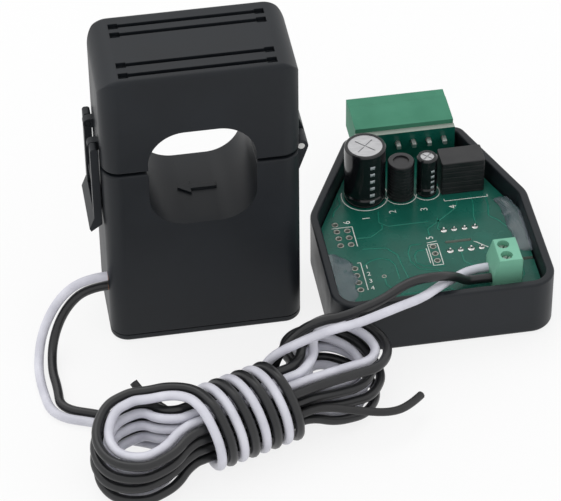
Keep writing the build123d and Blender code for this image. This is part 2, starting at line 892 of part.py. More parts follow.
with BuildPart() as component_joints:
    with BuildSketch(tray_level(board_low)):
        with Locations(*part_pins):
            Circle(hole_r)
    extrude(amount=board_t)
    with BuildSketch(tray_level(board_low)):
        with Locations(*part_pins):
            Circle(joint_r)
    extrude(amount=-joint_h, taper=joint_taper)
    with BuildSketch(tray_level(board_low)):
        with Locations(*part_pins):
            Circle(pin_r)
    extrude(amount=-joint_h - pin_tip)
keep(component_joints, "component_joints")

# Metering chip: under the board, soldered on top

chip_top = board_low - chip_gap
chip_leg_z = chip_top - chip_h / 2
with BuildPart() as metering_chip:
    with BuildSketch(tray_level(chip_top - chip_h)):
        with Locations(chip_at):
            Rectangle(chip_len, chip_d)
    extrude(amount=chip_h)
    chamfer(metering_chip.faces().sort_by(Axis.Z)[0].edges(), leg_t)
    with BuildSketch(tray_level(chip_leg_z)):
        for x in row_of(chip_ways, pin_pitch, chip_at[0]):
            with Locations((x, chip_at[1])):
                Rectangle(leg_w, chip_rows + leg_t)
    extrude(amount=leg_t)
    with BuildSketch(tray_level(chip_leg_z)):
        with Locations(*chip_places):
            Rectangle(leg_w, leg_t)
    extrude(amount=board_top + joint_h - chip_leg_z)
keep(metering_chip, "metering_chip")

with BuildPart() as chip_solder_joints:
    with BuildSketch(tray_level(board_top)):
        with Locations(*chip_places):
            Circle(joint_r)
    extrude(amount=joint_h, taper=joint_taper)
    with BuildSketch(tray_level(board_low)):
        with Locations(*chip_places):
            Circle(hole_r)
    extrude(amount=board_t)
    add(metering_chip.part, mode=Mode.SUBTRACT)
keep(chip_solder_joints, "chip_solder_joints")

# Two-way terminal: a body, rising clamps, slotted screws and contact bars

wire_z = board_top + wire_up
term_left = term_at[0] - term_w / 2
term_front = term_at[1] - term_len / 2
bar_low = wire_z + lead_core_d / 2
bar_high = bar_low + bar_t
clamp_low = wire_z - lead_core_d / 2 - clamp_rest - clamp_floor
clamp_h = clamp_floor + clamp_rest + lead_core_d + bar_t + clamp_travel + clamp_roof
well_low = clamp_low + clamp_h + fit_gap + well_floor


def term_side(x):
    """An upright plane over the tray; its own x runs back, its own y is up."""
    return Plane(origin=(tray_x + x, tray_y, 0), x_dir=(0, 1, 0), z_dir=(1, 0, 0))


with BuildPart() as terminal_body:
    with BuildSketch(tray_face(term_front)):
        with BuildLine():
            Polyline(
                (term_left, board_top),
                (term_left + term_w, board_top),
                (term_left + term_w, board_top + term_h),
                (term_left + term_slope, board_top + term_h),
                (term_left, board_top + term_h / 2),
                close=True,
            )
        make_face()
    extrude(amount=-term_len)
    fillet(terminal_body.edges().filter_by(Axis.Y).group_by(Axis.Z)[-1], term_edge)
    with BuildSketch(tray_level(board_top)):
        for pole in poles:
            with Locations((term_at[0], pole)):
                Rectangle(clamp_d + 2 * fit_gap, clamp_w + fit_gap)
    extrude(amount=clamp_low + clamp_h + fit_gap - board_top, mode=Mode.SUBTRACT)
    with BuildSketch(tray_level(board_top)):
        for pole in poles:
            with Locations((bar_leg_x + bar_t / 2, pole)):
                Rectangle(bar_t, bar_w)
    extrude(amount=bar_high - board_top, mode=Mode.SUBTRACT)
    with BuildSketch(tray_level(board_top + term_h)):
        for pole in poles:
            with Locations((term_at[0], pole)):
                Circle(screw_r + fit_gap / 2)
    extrude(amount=-(board_top + term_h - well_low), mode=Mode.SUBTRACT)
    with BuildSketch(tray_level(well_low)):
        for pole in poles:
            with Locations((term_at[0], pole)):
                Circle(screw_thread_r + turn_gap)
    extrude(amount=-well_floor, mode=Mode.SUBTRACT)
    with BuildSketch(term_side(term_left)):
        for pole in poles:
            with Locations((pole, wire_z)):
                Circle(lead_d / 2)
    extrude(amount=term_w / 2, mode=Mode.SUBTRACT)
    with BuildSketch(tray_level(board_top)):
        for pole in poles:
            with Locations((term_left + term_w, pole)):
                Rectangle(2 * rib_out, rib_w)
    extrude(amount=term_h * 0.8)
keep(terminal_body, "terminal_body")

with BuildPart() as terminal_bars:
    with BuildSketch(tray_level(bar_low)):
        for pole in poles:
            with Locations(((term_at[0] - clamp_d / 2 + bar_leg_x + bar_t) / 2, pole)):
                Rectangle(bar_leg_x + bar_t - term_at[0] + clamp_d / 2, bar_w)
    extrude(amount=bar_t)
    with BuildSketch(tray_level(board_top)):
        for pole in poles:
            with Locations((bar_leg_x + bar_t / 2, pole)):
                Rectangle(bar_t, bar_w)
    extrude(amount=bar_t + bar_low - board_top)
    with BuildSketch(tray_level(board_top)):
        with Locations(*bar_pins):
            Circle(hole_r)
    extrude(amount=-board_t - pin_tip)
keep(terminal_bars, "terminal_bars")


def clamp_section(pole):
    """A clamp seen from its wire entry: a frame round the bar and the wire."""
    with BuildSketch(term_side(term_at[0] - clamp_d / 2)) as frame:
        with Locations((pole, clamp_low + clamp_h / 2)):
            Rectangle(clamp_w, clamp_h)
        with Locations((pole, clamp_low + (clamp_h + clamp_floor - clamp_roof) / 2)):
            Rectangle(bar_w + fit_gap, clamp_h - clamp_floor - clamp_roof,
                      mode=Mode.SUBTRACT)
    return frame.sketch


def screw_circle(pole, z, radius):
    """A circle on a screw's axis."""
    with BuildSketch(tray_level(z)) as end:
        with Locations((term_at[0], pole)):
            Circle(radius)
    return end.sketch


def screw_slot(pole):
    """The driver slot in a screw's head."""
    with BuildSketch(tray_level(well_low + screw_head_h)) as slot:
        with Locations((term_at[0], pole)):
            Rectangle(2 * screw_r, screw_slot_w, rotation=screw_slot_turn)
    return slot.sketch


with BuildPart() as terminal_clamp_front:
    extrude(clamp_section(poles[0]), amount=clamp_d)
    extrude(screw_circle(poles[0], clamp_low + clamp_h, screw_thread_r + turn_gap),
            amount=-clamp_roof, mode=Mode.SUBTRACT)
keep(terminal_clamp_front, "terminal_clamp_front")

with BuildPart() as terminal_clamp_rear:
    extrude(clamp_section(poles[1]), amount=clamp_d)
    extrude(screw_circle(poles[1], clamp_low + clamp_h, screw_thread_r + turn_gap),
            amount=-clamp_roof, mode=Mode.SUBTRACT)
keep(terminal_clamp_rear, "terminal_clamp_rear")

with BuildPart() as terminal_screw_front:
    extrude(screw_circle(poles[0], well_low, screw_r), amount=screw_head_h)
    extrude(screw_circle(poles[0], bar_high, screw_thread_r), amount=well_low - bar_high)
    extrude(screw_slot(poles[0]), amount=-screw_head_h / 2, mode=Mode.SUBTRACT)
keep(terminal_screw_front, "terminal_screw_front")

with BuildPart() as terminal_screw_rear:
    extrude(screw_circle(poles[1], well_low, screw_r), amount=screw_head_h)
    extrude(screw_circle(poles[1], bar_high, screw_thread_r), amount=well_low - bar_high)
    extrude(screw_slot(poles[1]), amount=-screw_head_h / 2, mode=Mode.SUBTRACT)
keep(terminal_screw_rear, "terminal_screw_rear")

# Stripped ends of the two leads, under the contact bars

entry_end = term_at[0] - clamp_d / 2 - fit_gap
with BuildPart() as conductor_tips:
    with BuildSketch(term_side(entry_end)):
        for pole in poles:
            with Locations((pole, wire_z)):
                Circle(lead_core_d / 2)
    extrude(amount=clamp_d)
keep(conductor_tips, "conductor_tips")

# Glue that holds the board to the tray's walls


def glue_outline(side, low, high, width):
    """A bead along the left (-1) or right (1) wall, with a wavy free edge."""
    wall_x = side * tray_w / 2
    inner = side * (tray_w / 2 - tray_wall)
    step = (high - low) / 6
    with BuildSketch(tray_level(board_top)) as bead:
        with BuildLine():
            Spline(
                (wall_x, low),
                (inner - side * width * 0.6, low + step / 2),
                (inner - side * width, low + 2 * step),
                (inner - side * width * 0.55, low + 3.4 * step),
                (inner - side * width * 0.75, low + 4.6 * step),
                (wall_x, high),
            )
            Line((wall_x, high), (wall_x, low))
        make_face()
    return bead.sketch


with BuildPart() as glue_left:
    extrude(glue_outline(-1, *glue_left_y, glue_w), amount=glue_h)
    extrude(tray_outline(board_top, tray_wall), amount=glue_h, mode=Mode.INTERSECT)
keep(glue_left, "glue_left")

with BuildPart() as glue_right:
    extrude(glue_outline(1, *glue_right_y, glue_w / 2), amount=glue_h)
    extrude(tray_outline(board_top, tray_wall), amount=glue_h, mode=Mode.INTERSECT)
keep(glue_right, "glue_right")

# Hank: the two leads side by side, four loops drawn in at the waist, then wrapped.
# Its own u runs along it, its v across it; a node of a path is a point and a heading.

up = Vector(0, 0, 1)
hank_u = Vector(cos(radians(hank_turn)), sin(radians(hank_turn)), 0)
hank_v = up.cross(hank_u)
half_stack = waist_step * (hank_layers - 1) / 2
wrap_r = sqrt((waist_track + pair_side) ** 2 + half_stack ** 2) + lead_d + hank_gap
wrap_z = wrap_r + lead_rest


def hank_way(along, across, rise):
    """A vector in the hank's own directions."""
    return hank_u * along + hank_v * across + up * rise


def hank_node(u, v, z, angle, rise=0.0):
    """A node at u, v and z, heading at an angle from u and rising."""
    point = Vector(hank_at[0], hank_at[1], 0) + hank_way(u, v, z)
    way = hank_way(cos(radians(angle)), sin(radians(angle)), rise)
    return point, way.normalized()


def arc_joint(start, leave, end, arrive):
    """Where two tangent arcs between two nodes meet, and the heading there."""
    span = end - start
    turn = 1 - leave.dot(arrive)
    along = span.dot(leave + arrive)
    if turn < 1e-9:
        reach = span.dot(span) / (2 * along)
    else:
        reach = (sqrt(along ** 2 + 2 * turn * span.dot(span)) - along) / (2 * turn)
    first = start + leave * reach
    last = end - arrive * reach
    return (first + last) * 0.5, (last - first).normalized()


def pair_nodes():
    """The middle line of the two leads, from their entry to the top of the wraps."""
    nodes = [
        hank_node(-31.0, 23.5, lead_rest, -40),
        hank_node(-25.8, 12.6, lead_rest + 1, -50, 0.15),
    ]
    for layer in range(hank_layers):
        waist_z = wrap_z - half_stack + waist_step * layer
        end_z = lead_rest + end_step * layer
        reach, wide, aside = right_ends[layer]
        nodes += [
            hank_node(waist_at - waist_half, waist_track, waist_z, 0),
            hank_node(waist_at + waist_half, waist_track, waist_z, 0),
            hank_node(reach - wide, wide + aside, end_z + 2.6, 0, -0.12),
            hank_node(reach, aside, end_z + 0.4, -90),
            hank_node(reach - wide, aside - wide, end_z + 2.0, 180, 0.12),
            hank_node(waist_at + waist_half, -waist_track, waist_z, 180),
            hank_node(waist_at - waist_half, -waist_track, waist_z, 180),
        ]
        reach, wide, aside = left_ends[layer]
        lift = layer // (hank_layers - 1)
        nodes += [
            hank_node(wide - reach, aside - wide, end_z + 1.8, 180, -0.1),
            hank_node(-reach, aside, end_z + 0.8 + lift / 2, 90, 0.1),
            hank_node(wide - reach, wide + aside, end_z + 3.9 + lift, 0, 0.2),
        ]
    nodes += [
        hank_node(-21.8, 8.5, wrap_z + 0.84 * wrap_r, -23, 0.2),
        hank_node(wrap_from - pair_side, 0, wrap_z + wrap_r, -84),
    ]
    return nodes


def lead_nodes(side):
    """One lead of the pair, on its left (1) or its right (-1)."""
    middle = pair_nodes()
    joined = []
    for (start, leave), (end, arrive) in zip(middle, middle[1:]):
        joined.append((start, leave))
        if leave.dot(arrive) > 0.25 and (end - start).cross(leave).length > 0.5:
            joined.append(arc_joint(start, leave, end, arrive))
    nodes = []
    for point, heading in joined:
        across = up.cross(heading).normalized()
        nodes.append((point + across * (side * pair_side), heading))
    nodes.pop()
    first, heading = nodes[0]
    nodes.insert(0, (first - heading * lead_d, heading))
    for quarter in range(wrap_quarters):
        turn = radians(90 * (quarter + 1))
        along = wrap_from + (side - 1) * pair_side + wrap_pitch * quarter / 4
        point, _ = hank_node(along, wrap_r * cos(turn), wrap_z + wrap_r * sin(turn), 0)
        way = hank_way(wrap_pitch / (2 * pi), -wrap_r * sin(turn), wrap_r * cos(turn))
        nodes.append((point, way.normalized()))
    return nodes


def arcs_through(nodes):
    """Tangent arcs through a path's nodes, straight where two of them are in line."""
    pieces = []
    with BuildLine() as path:
        for (start, leave), (end, arrive) in zip(nodes, nodes[1:]):
            if (end - start).cross(leave).length < 1e-6:
                pieces.append(Line(start, end))
                continue
            joint, heading = arc_joint(start, leave, end, arrive)
            pieces.append(TangentArc(start, joint, tangent=leave))
            pieces.append(TangentArc(joint, end, tangent=heading))
    return path.line, pieces


def lead_route(name, points):
    """Straight runs joined by arcs as large as the runs allow."""
    places = [Vector(point) for point in points]
    radii = []
    for before, corner, after in zip(places, places[1:], places[2:]):
        run = min((corner - before).length, (after - corner).length)
        half_turn = (corner - before).get_angle(after - corner) / 2
        radii.append(0.45 * run / tan(radians(half_turn)))
    print(name, "radii", [round(radius, 1) for radius in radii])
    with BuildLine() as path:
        FilletPolyline(*places, radius=radii)
    return path.line


def round_end(point, heading, thick=lead_d):
    """The section of a lead, or of the tie, where a path begins."""
    with BuildSketch(Plane(origin=point, z_dir=heading)) as end:
        Circle(thick / 2)
    return end.sketch


def points_along(pieces, spacing):
    """Points on a path, each with its distance from the start."""
    points, gone = [], 0.0
    for piece in pieces:
        steps = max(2, round(piece.length / spacing))
        for number in range(steps):
            spot = piece.position_at(number / steps)
            points.append((gone + piece.length * number / steps, spot.X, spot.Y, spot.Z))
        gone += piece.length
    return points


def least_gap(these, those, apart):
    """The least gap between two leads, or along one at points some way apart."""
    return min(
        sqrt((a[1] - b[1]) ** 2 + (a[2] - b[2]) ** 2 + (a[3] - b[3]) ** 2)
        for a in these
        for b in those
        if apart <= 0 or abs(a[0] - b[0]) >= apart
    ) - lead_d


ct_left = ct_x - ct_w / 2
white_nodes = lead_nodes(-1)
black_nodes = lead_nodes(1)
white_out = hank_node(18.5, 5.8, wrap_z + wrap_r + 0.7, 0)
black_out = hank_node(19.5, 11.0, wrap_z + wrap_r - 0.9, 3)
white_end = (Vector(6.9, tray_y - 7.3, 17.5), Vector(6.5, 2.5, 0).normalized())
black_end = (Vector(3.0, tray_y - 4.4, 17.0), Vector(8.8, 3.4, 0).normalized())
white_tip = white_end[0] + white_end[1] * lead_d
black_tip = black_end[0] + black_end[1] * lead_d
white_nodes += [white_out, white_end, (white_tip, white_end[1])]
black_nodes += [black_out, black_end, (black_tip, black_end[1])]

white_path, white_pieces = arcs_through(white_nodes)
black_path, black_pieces = arcs_through(black_nodes)
white_points = points_along(white_pieces, 1.5)
black_points = points_along(black_pieces, 1.5)
print("hank lengths", round(white_points[-1][0], 1), round(black_points[-1][0], 1))
print("least gap of white to itself", round(least_gap(white_points, white_points, 9), 2))
print("least gap of black to itself", round(least_gap(black_points, black_points, 9), 2))
print("least gap of white to black", round(least_gap(white_points, black_points, 0), 2))

with BuildPart() as lead_white_hank:
    add(round_end(*white_nodes[0]))
    sweep(path=white_path)
keep(lead_white_hank, "lead_white_hank")

with BuildPart() as lead_black_hank:
    add(round_end(*black_nodes[0]))
    sweep(path=black_path)
keep(lead_black_hank, "lead_black_hank")

# Free stretches of the leads, from the transformer and to the terminal

white_start, white_way = white_nodes[0]
white_ct_route = lead_route("white at the transformer", [
    (ct_left, ct_y + lead_out_y, lead_out_white),
    (ct_left - 5.2, ct_y + lead_out_y, lead_out_white),
    (ct_left - 11.4, ct_y + 4.2, lead_out_white - 4.3),
    (ct_left - 16.2, ct_y + 1.1, 5.8),
    (ct_left - 18.2, ct_y - 5.9, lead_rest + 0.5),
    (ct_left - 18.1, ct_y - 13.7, lead_rest),
    white_start - white_way * 7,
    white_start,
])
with BuildPart() as lead_white_ct_end:
    add(round_end((ct_left, ct_y + lead_out_y, lead_out_white), (-1, 0, 0)))
    sweep(path=white_ct_route)
keep(lead_white_ct_end, "lead_white_ct_end")

black_start, black_way = black_nodes[0]
black_ct_route = lead_route("black at the transformer", [
    (ct_left, ct_y + lead_out_y, lead_out_black),
    (ct_left - 5.0, ct_y + lead_out_y, lead_out_black),
    (ct_left - 10.8, ct_y + 3.5, lead_out_black - 4.0),
    (ct_left - 14.0, ct_y - 0.5, 4.2),
    (ct_left - 15.2, ct_y - 7.9, lead_rest + 0.1),
    (ct_left - 14.5, ct_y - 14.1, lead_rest),
    black_start - black_way * 6,
    black_start,
])
with BuildPart() as lead_black_ct_end:
    add(round_end((ct_left, ct_y + lead_out_y, lead_out_black), (-1, 0, 0)))
    sweep(path=black_ct_route)
keep(lead_black_ct_end, "lead_black_ct_end")

black_pole, white_pole = [tray_y + pole for pole in poles]
inside = tray_x + entry_end
white_board_route = lead_route("white over the board", [
    white_tip,
    white_tip + white_end[1] * 6,
    (inside - 19.5, white_pole - 12.7, wire_z + 5.5),
    (inside - 13.6, white_pole - 8.1, wire_z + 4.7),
    (inside - 9.2, white_pole - 2.5, wire_z + 1.8),
    (inside - 5.0, white_pole, wire_z),
    (inside, white_pole, wire_z),
])
with BuildPart() as lead_white_board_end:
    add(round_end(white_tip, white_end[1]))
    sweep(path=white_board_route)
keep(lead_white_board_end, "lead_white_board_end")

black_board_route = lead_route("black over the board", [
    black_tip,
    black_tip + black_end[1] * 6,
    (inside - 21.2, black_pole - 5.3, wire_z + 4.4),
    (inside - 14.6, black_pole - 2.9, wire_z + 1.1),
    (inside - 9.2, black_pole - 1.3, wire_z + 0.2),
    (inside - 4.8, black_pole, wire_z),
    (inside, black_pole, wire_z),
])
with BuildPart() as lead_black_board_end:
    add(round_end(black_tip, black_end[1]))
    sweep(path=black_board_route)
keep(lead_black_board_end, "lead_black_board_end")

# Tie: its two ends stand out of the hank, one behind on the left, one in front on the right


def tie_point(u, v, z):
    """A point of the tie in the hank's own directions."""
    return hank_node(u, v, z, 0)[0]


tie_left_route = lead_route("tie on the left", [
    tie_point(-1.0, tie_side, wrap_z),
    tie_point(-18.0, tie_side, wrap_z),
    tie_point(-20.0, 11.6, wrap_z),
    tie_point(-22.2, 15.6, wrap_z + 1.2),
    tie_point(-23.0, 18.4, wrap_z + 3.0),
])
with BuildPart() as tie_left_end:
    add(round_end(tie_left_route @ 0, tie_left_route % 0, tie_d))
    sweep(path=tie_left_route)
keep(tie_left_end, "tie_left_end")

tie_right_route = lead_route("tie on the right", [
    tie_point(-4.0, -tie_side, wrap_z),
    tie_point(11.6, -tie_side, wrap_z),
    tie_point(18.6, -10.8, wrap_z - 0.8),
    tie_point(25.2, -12.6, wrap_z - 3.0),
    tie_point(30.8, -11.8, wrap_z - 4.4),
    tie_point(35.8, -9.0, wrap_z - 5.4),
])
with BuildPart() as tie_right_end:
    add(round_end(tie_right_route @ 0, tie_right_route % 0, tie_d))
    sweep(path=tie_right_route)
keep(tie_right_end, "tie_right_end")


for name, route in (("left", tie_left_route), ("right", tie_right_route)):
    spots = points_along(route.edges(), 0.8)
    slack = [least_gap(spots, leads, 0) + (lead_d - tie_d) / 2
             for leads in (white_points, black_points)]
    print("least gap of the tie,", name, [round(gap, 2) for gap in slack])

for piece, route in (
    (lead_white_hank, white_path),
    (lead_black_hank, black_path),
    (lead_white_ct_end, white_ct_route),
    (lead_black_ct_end, black_ct_route),
    (lead_white_board_end, white_board_route),
    (lead_black_board_end, black_board_route),
):
    length = sum(edge.length for edge in route.edges())
    full = pi * lead_d ** 2 / 4 * length
    print(piece.part.label, round(length, 1), "volume share",
          round(piece.part.volume / full, 4))
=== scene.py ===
# %% [markdown]
# # A single-phase energy meter: clip-on transformer, hank of leads and open module
#
# The solids were drawn in CAD and packed as a fixed frame. Here they get their looks: the
# wires, the solder, the printed board, the glue, and a finish for every plastic and metal.
# Each step says what the real thing is, how it could be made, and why it is made so here.
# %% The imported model
import bmesh
import bpy
from math import cos, degrees, pi, radians, sin, sqrt
from mathutils import Matrix, Vector, noise


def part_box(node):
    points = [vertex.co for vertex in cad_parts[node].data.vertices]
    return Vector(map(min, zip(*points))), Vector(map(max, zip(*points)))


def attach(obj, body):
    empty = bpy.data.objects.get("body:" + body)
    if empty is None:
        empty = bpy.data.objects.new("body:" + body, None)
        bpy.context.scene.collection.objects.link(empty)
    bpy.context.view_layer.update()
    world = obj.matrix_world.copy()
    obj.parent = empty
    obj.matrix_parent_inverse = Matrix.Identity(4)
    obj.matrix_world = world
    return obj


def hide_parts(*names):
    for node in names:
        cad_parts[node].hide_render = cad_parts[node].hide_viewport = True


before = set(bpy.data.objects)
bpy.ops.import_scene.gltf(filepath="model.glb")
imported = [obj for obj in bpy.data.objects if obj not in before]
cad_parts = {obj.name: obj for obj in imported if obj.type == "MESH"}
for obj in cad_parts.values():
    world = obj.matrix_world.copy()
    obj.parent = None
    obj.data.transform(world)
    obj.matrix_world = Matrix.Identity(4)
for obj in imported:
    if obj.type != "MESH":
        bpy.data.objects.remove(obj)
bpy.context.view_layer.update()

MM = 0.001

# %% [markdown]
# ## The camera
#
# The photograph was taken from far off with a long lens, looking down at about 41 degrees
# and a little from the left. The three directions below were fitted to corners of the
# object that could be found both in the photograph and in the CAD model.
# %% The camera at the photograph's place
UP = Vector((0, 0, 1))
RIGHT = Vector((0.98628429, -0.16474562, -0.01010875))
ABOVE = Vector((0.11558271, 0.64564331, 0.75484128))
AHEAD = Vector((0.11783015, 0.74565649, -0.65582959))
EYE = Vector((-91.54, -538.27, 476.97)) * MM
SENSOR_WIDTH = 36
FOCAL_LENGTH = 192.97


def put(name, data):
    """Adds an object that shows a mesh, a curve, a lens or a lamp."""
    made = bpy.data.objects.new(name, data)
    bpy.context.collection.objects.link(made)
    return made


lens = bpy.data.cameras.new("photo_lens")
lens.sensor_width = SENSOR_WIDTH
lens.lens = FOCAL_LENGTH
lens.clip_start = 0.01
camera = put("photo_camera", lens)
turned = Matrix((RIGHT, ABOVE, -AHEAD)).transposed().to_4x4()
camera.matrix_world = Matrix.Translation(EYE) @ turned
bpy.context.scene.camera = camera
print("camera looks down", round(90 - degrees(AHEAD.angle(-UP)), 1), "degrees")

# %% [markdown]
# ## Finishes
#
# No real surface is one flat colour. A moulded case has a fine spark-eroded grain, a board
# has glass weave under its lacquer. Painted images could show that, but they are fixed in
# size. Noise worked out by nodes is sharp at any distance, so every finish here is a small
# tree: one noise shifts the colour and the gloss, and a finer one raises the grain.
# %% Helpers that build a node tree
def node(tree, kind, inputs=None, **settings):
    """Adds a node. An input is a number, a colour, or the socket that feeds it."""
    made = tree.nodes.new(kind)
    for name, value in settings.items():
        setattr(made, name, value)
    for name, value in (inputs or {}).items():
        if isinstance(value, bpy.types.NodeSocket):
            tree.links.new(value, made.inputs[name])
        else:
            made.inputs[name].default_value = value
    return made


def maths(tree, operation, one, other=0.0):
    """One sum on one or two numbers or sockets."""
    return node(tree, "ShaderNodeMath", {0: one, 1: other}, operation=operation).outputs[0]


def blended(tree, share, dark, light):
    """A colour between two others."""
    dark, light = ((*c, 1) if isinstance(c, tuple) else c for c in (dark, light))
    return node(tree, "ShaderNodeMix", {0: share, 6: dark, 7: light},
                data_type="RGBA").outputs[2]


def spread(tree, value, low, high, start=0.35, stop=0.65):
    """A number moved from one range to another."""
    return node(tree, "ShaderNodeMapRange",
                {0: value, 1: start, 2: stop, 3: low, 4: high}).outputs[0]


# %% One finish: two colours, a gloss and a grain
def finish(name, dark, light, rough, patch=250.0, grain=2500.0, depth=0.02,
           edge=0.0, stretch=(1, 1, 1), **shader):
    """A material in object coordinates. Scales are per metre, depth and edge in mm."""
    made = bpy.data.materials.new(name)
    made.use_nodes = True
    made.diffuse_color = (*light, 1)
    tree = made.node_tree
    surface = tree.nodes["Principled BSDF"]
    for socket, value in shader.items():
        surface.inputs[socket.replace("_", " ")].default_value = value
    place = node(tree, "ShaderNodeTexCoord").outputs["Object"]
    place = node(tree, "ShaderNodeMapping", {"Vector": place, "Scale": stretch}).outputs[0]
    clouds = node(tree, "ShaderNodeTexNoise",
                  {"Vector": place, "Scale": patch, "Detail": 4.0}).outputs["Fac"]
    fine = node(tree, "ShaderNodeTexNoise",
                {"Vector": place, "Scale": grain, "Detail": 3.0}).outputs["Fac"]
    colour = blended(tree, spread(tree, clouds, 0, 1), dark, light)
    bump = node(tree, "ShaderNodeBump",
                {"Height": fine, "Strength": 0.6, "Distance": depth * MM})
    if edge:
        rounded = node(tree, "ShaderNodeBevel", {"Radius": edge * MM}, samples=3)
        tree.links.new(rounded.outputs[0], bump.inputs["Normal"])
    tree.links.new(colour, surface.inputs["Base Color"])
    tree.links.new(spread(tree, clouds, *rough), surface.inputs["Roughness"])
    tree.links.new(bump.outputs[0], surface.inputs["Normal"])
    made["parts"] = {"place": place.node.name, "bump": bump.name}
    return made


def raise_more(made, height, depth):
    """Adds a second, larger relief under a finish's grain."""
    tree = made.node_tree
    first = tree.nodes[made["parts"]["bump"]]
    below = node(tree, "ShaderNodeBump", {"Height": height, "Distance": depth * MM})
    if first.inputs["Normal"].is_linked:
        tree.links.new(first.inputs["Normal"].links[0].from_socket, below.inputs["Normal"])
    tree.links.new(below.outputs[0], first.inputs["Normal"])


# %% [markdown]
# ## Black plastics
#
# The transformer's case and the tray are both black, but not alike. The case has a fine
# even grain, and the tray is smoother. Both lean a little to blue. Both keep a base colour
# far below grey, because most of what the eye sees on black plastic is its reflection of
# the room. A Bevel node rounds their edges for the light, where no rounding is modelled.
# %% Case, tray and the other black parts
finishes = {}
finishes["transformer_case"] = finish(
    "case_grain", (0.0088, 0.0108, 0.0138), (0.0124, 0.0150, 0.0188), (0.42, 0.5),
    patch=60, grain=5200, depth=0.018, edge=0.25, Specular_IOR_Level=0.26)
finishes["tray"] = finish(
    "tray_satin", (0.0085, 0.0106, 0.0136), (0.0120, 0.0148, 0.0186), (0.36, 0.46),
    patch=90, grain=3800, depth=0.012, edge=0.3, Specular_IOR_Level=0.28)
finishes["converter_black"] = finish(
    "potted_block", (0.0080, 0.0084, 0.0095), (0.0140, 0.0145, 0.0160), (0.45, 0.62),
    patch=300, grain=6000, depth=0.02, edge=0.2)
finishes["chip_black"] = finish(
    "chip_epoxy", (0.010, 0.010, 0.011), (0.016, 0.016, 0.018), (0.5, 0.6), grain=9000)
finishes["sleeve_black"] = finish(
    "shrunk_sleeve", (0.0045, 0.0050, 0.0062), (0.0080, 0.0088, 0.0105), (0.12, 0.2),
    patch=500, grain=900, depth=0.03)
finishes["inductor_black"] = finish(
    "coil_sleeve", (0.0085, 0.0080, 0.0095), (0.0150, 0.0140, 0.0165), (0.3, 0.42),
    patch=400, grain=1400, depth=0.05)
finishes["bobbin"] = finish(
    "bobbin_nylon", (0.02, 0.02, 0.021), (0.03, 0.03, 0.032), (0.45, 0.55))
finishes["foam"] = finish(
    "pad_foam", (0.03, 0.03, 0.03), (0.06, 0.06, 0.06), (0.85, 0.95), grain=3000, depth=0.2)
print("black finishes:", len(finishes))

# %% [markdown]
# ## Metals, green plastics and the rest
#
# Solder and tinned pins are soft grey mirrors, core sheets are dull. A can's top is
# brushed aluminium. The header and the terminal are both a nearly matt green polyamide,
# and the header's is the darker one. The core's ends show only when the cap is open, and
# the foam and the copper stay hidden inside.
# %% Bright and coloured parts
finishes["steel"] = finish(
    "plated_steel", (0.58, 0.58, 0.56), (0.74, 0.74, 0.72), (0.3, 0.44),
    patch=900, grain=5000, depth=0.02, Metallic=0.8)
finishes["core"] = finish(
    "core_sheet", (0.20, 0.20, 0.21), (0.30, 0.30, 0.31), (0.4, 0.55),
    patch=300, grain=1500, depth=0.02, stretch=(1, 6, 1), Metallic=0.9)
finishes["copper"] = finish(
    "enamelled_copper", (0.62, 0.24, 0.10), (0.75, 0.33, 0.16), (0.25, 0.35),
    patch=700, grain=3000, depth=0.05, Metallic=1.0)
finishes["solder"] = finish(
    "solder_bright", (0.58, 0.57, 0.56), (0.80, 0.79, 0.77), (0.16, 0.34),
    patch=1300, grain=1800, depth=0.08, Metallic=1.0)
finishes["can_aluminium"] = finish(
    "brushed_aluminium", (0.42, 0.42, 0.43), (0.51, 0.51, 0.52), (0.34, 0.5),
    patch=500, grain=2600, depth=0.012, stretch=(1, 7, 1), Metallic=1.0)
finishes["header_green"] = finish(
    "header_polyamide", (0.050, 0.204, 0.128), (0.066, 0.240, 0.154), (0.5, 0.62),
    patch=140, grain=4200, depth=0.015, edge=0.15, Specular_IOR_Level=0.12)
finishes["connector_green"] = finish(
    "green_polyamide", (0.178, 0.440, 0.315), (0.210, 0.500, 0.360), (0.42, 0.55),
    patch=140, grain=4200, depth=0.015, edge=0.15, Specular_IOR_Level=0.2)
finishes["glue"] = finish(
    "hot_glue", (0.50, 0.60, 0.68), (0.62, 0.70, 0.78), (0.10, 0.18),
    patch=150, grain=350, depth=0.04, Transmission_Weight=0.85, IOR=1.4)
print("finishes so far:", len(finishes))

# %% [markdown]
# ## The boards' lacquer
#
# A circuit board is glass cloth in resin under a green lacquer. The cloth shows as a faint
# even weave, and the cut edges show the pale laminate itself. One tree does both: the
# side that a face looks to, read from its normal, says whether it is lacquer or a cut.
# %% The board and the upright board
def board_finish(name, lies_along):
    """Green lacquer on the two wide faces, pale laminate on the cut edges."""
    made = finish(name, (0.0050, 0.088, 0.063), (0.0078, 0.116, 0.084), (0.2, 0.32),
                  patch=110, grain=1600, depth=0.01, Specular_IOR_Level=0.3)
    tree = made.node_tree
    surface = tree.nodes["Principled BSDF"]
    place = tree.nodes[made["parts"]["place"]].outputs[0]
    weave = node(tree, "ShaderNodeTexChecker", {"Vector": place, "Scale": 1900.0}).outputs[1]
    raise_more(made, weave, 0.004)
    normal = node(tree, "ShaderNodeTexCoord").outputs["Normal"]
    facing = maths(tree, "ABSOLUTE", node(
        tree, "ShaderNodeSeparateXYZ", {0: normal}).outputs[lies_along])
    cut = maths(tree, "LESS_THAN", facing, 0.7)
    green = surface.inputs["Base Color"].links[0].from_socket
    tree.links.new(blended(tree, cut, green, (0.30, 0.34, 0.30)), surface.inputs["Base Color"])
    return made


finishes["circuit_board"] = board_finish("board_lacquer", "Z")
finishes["upright_board"] = board_finish("upright_board_lacquer", "Y")

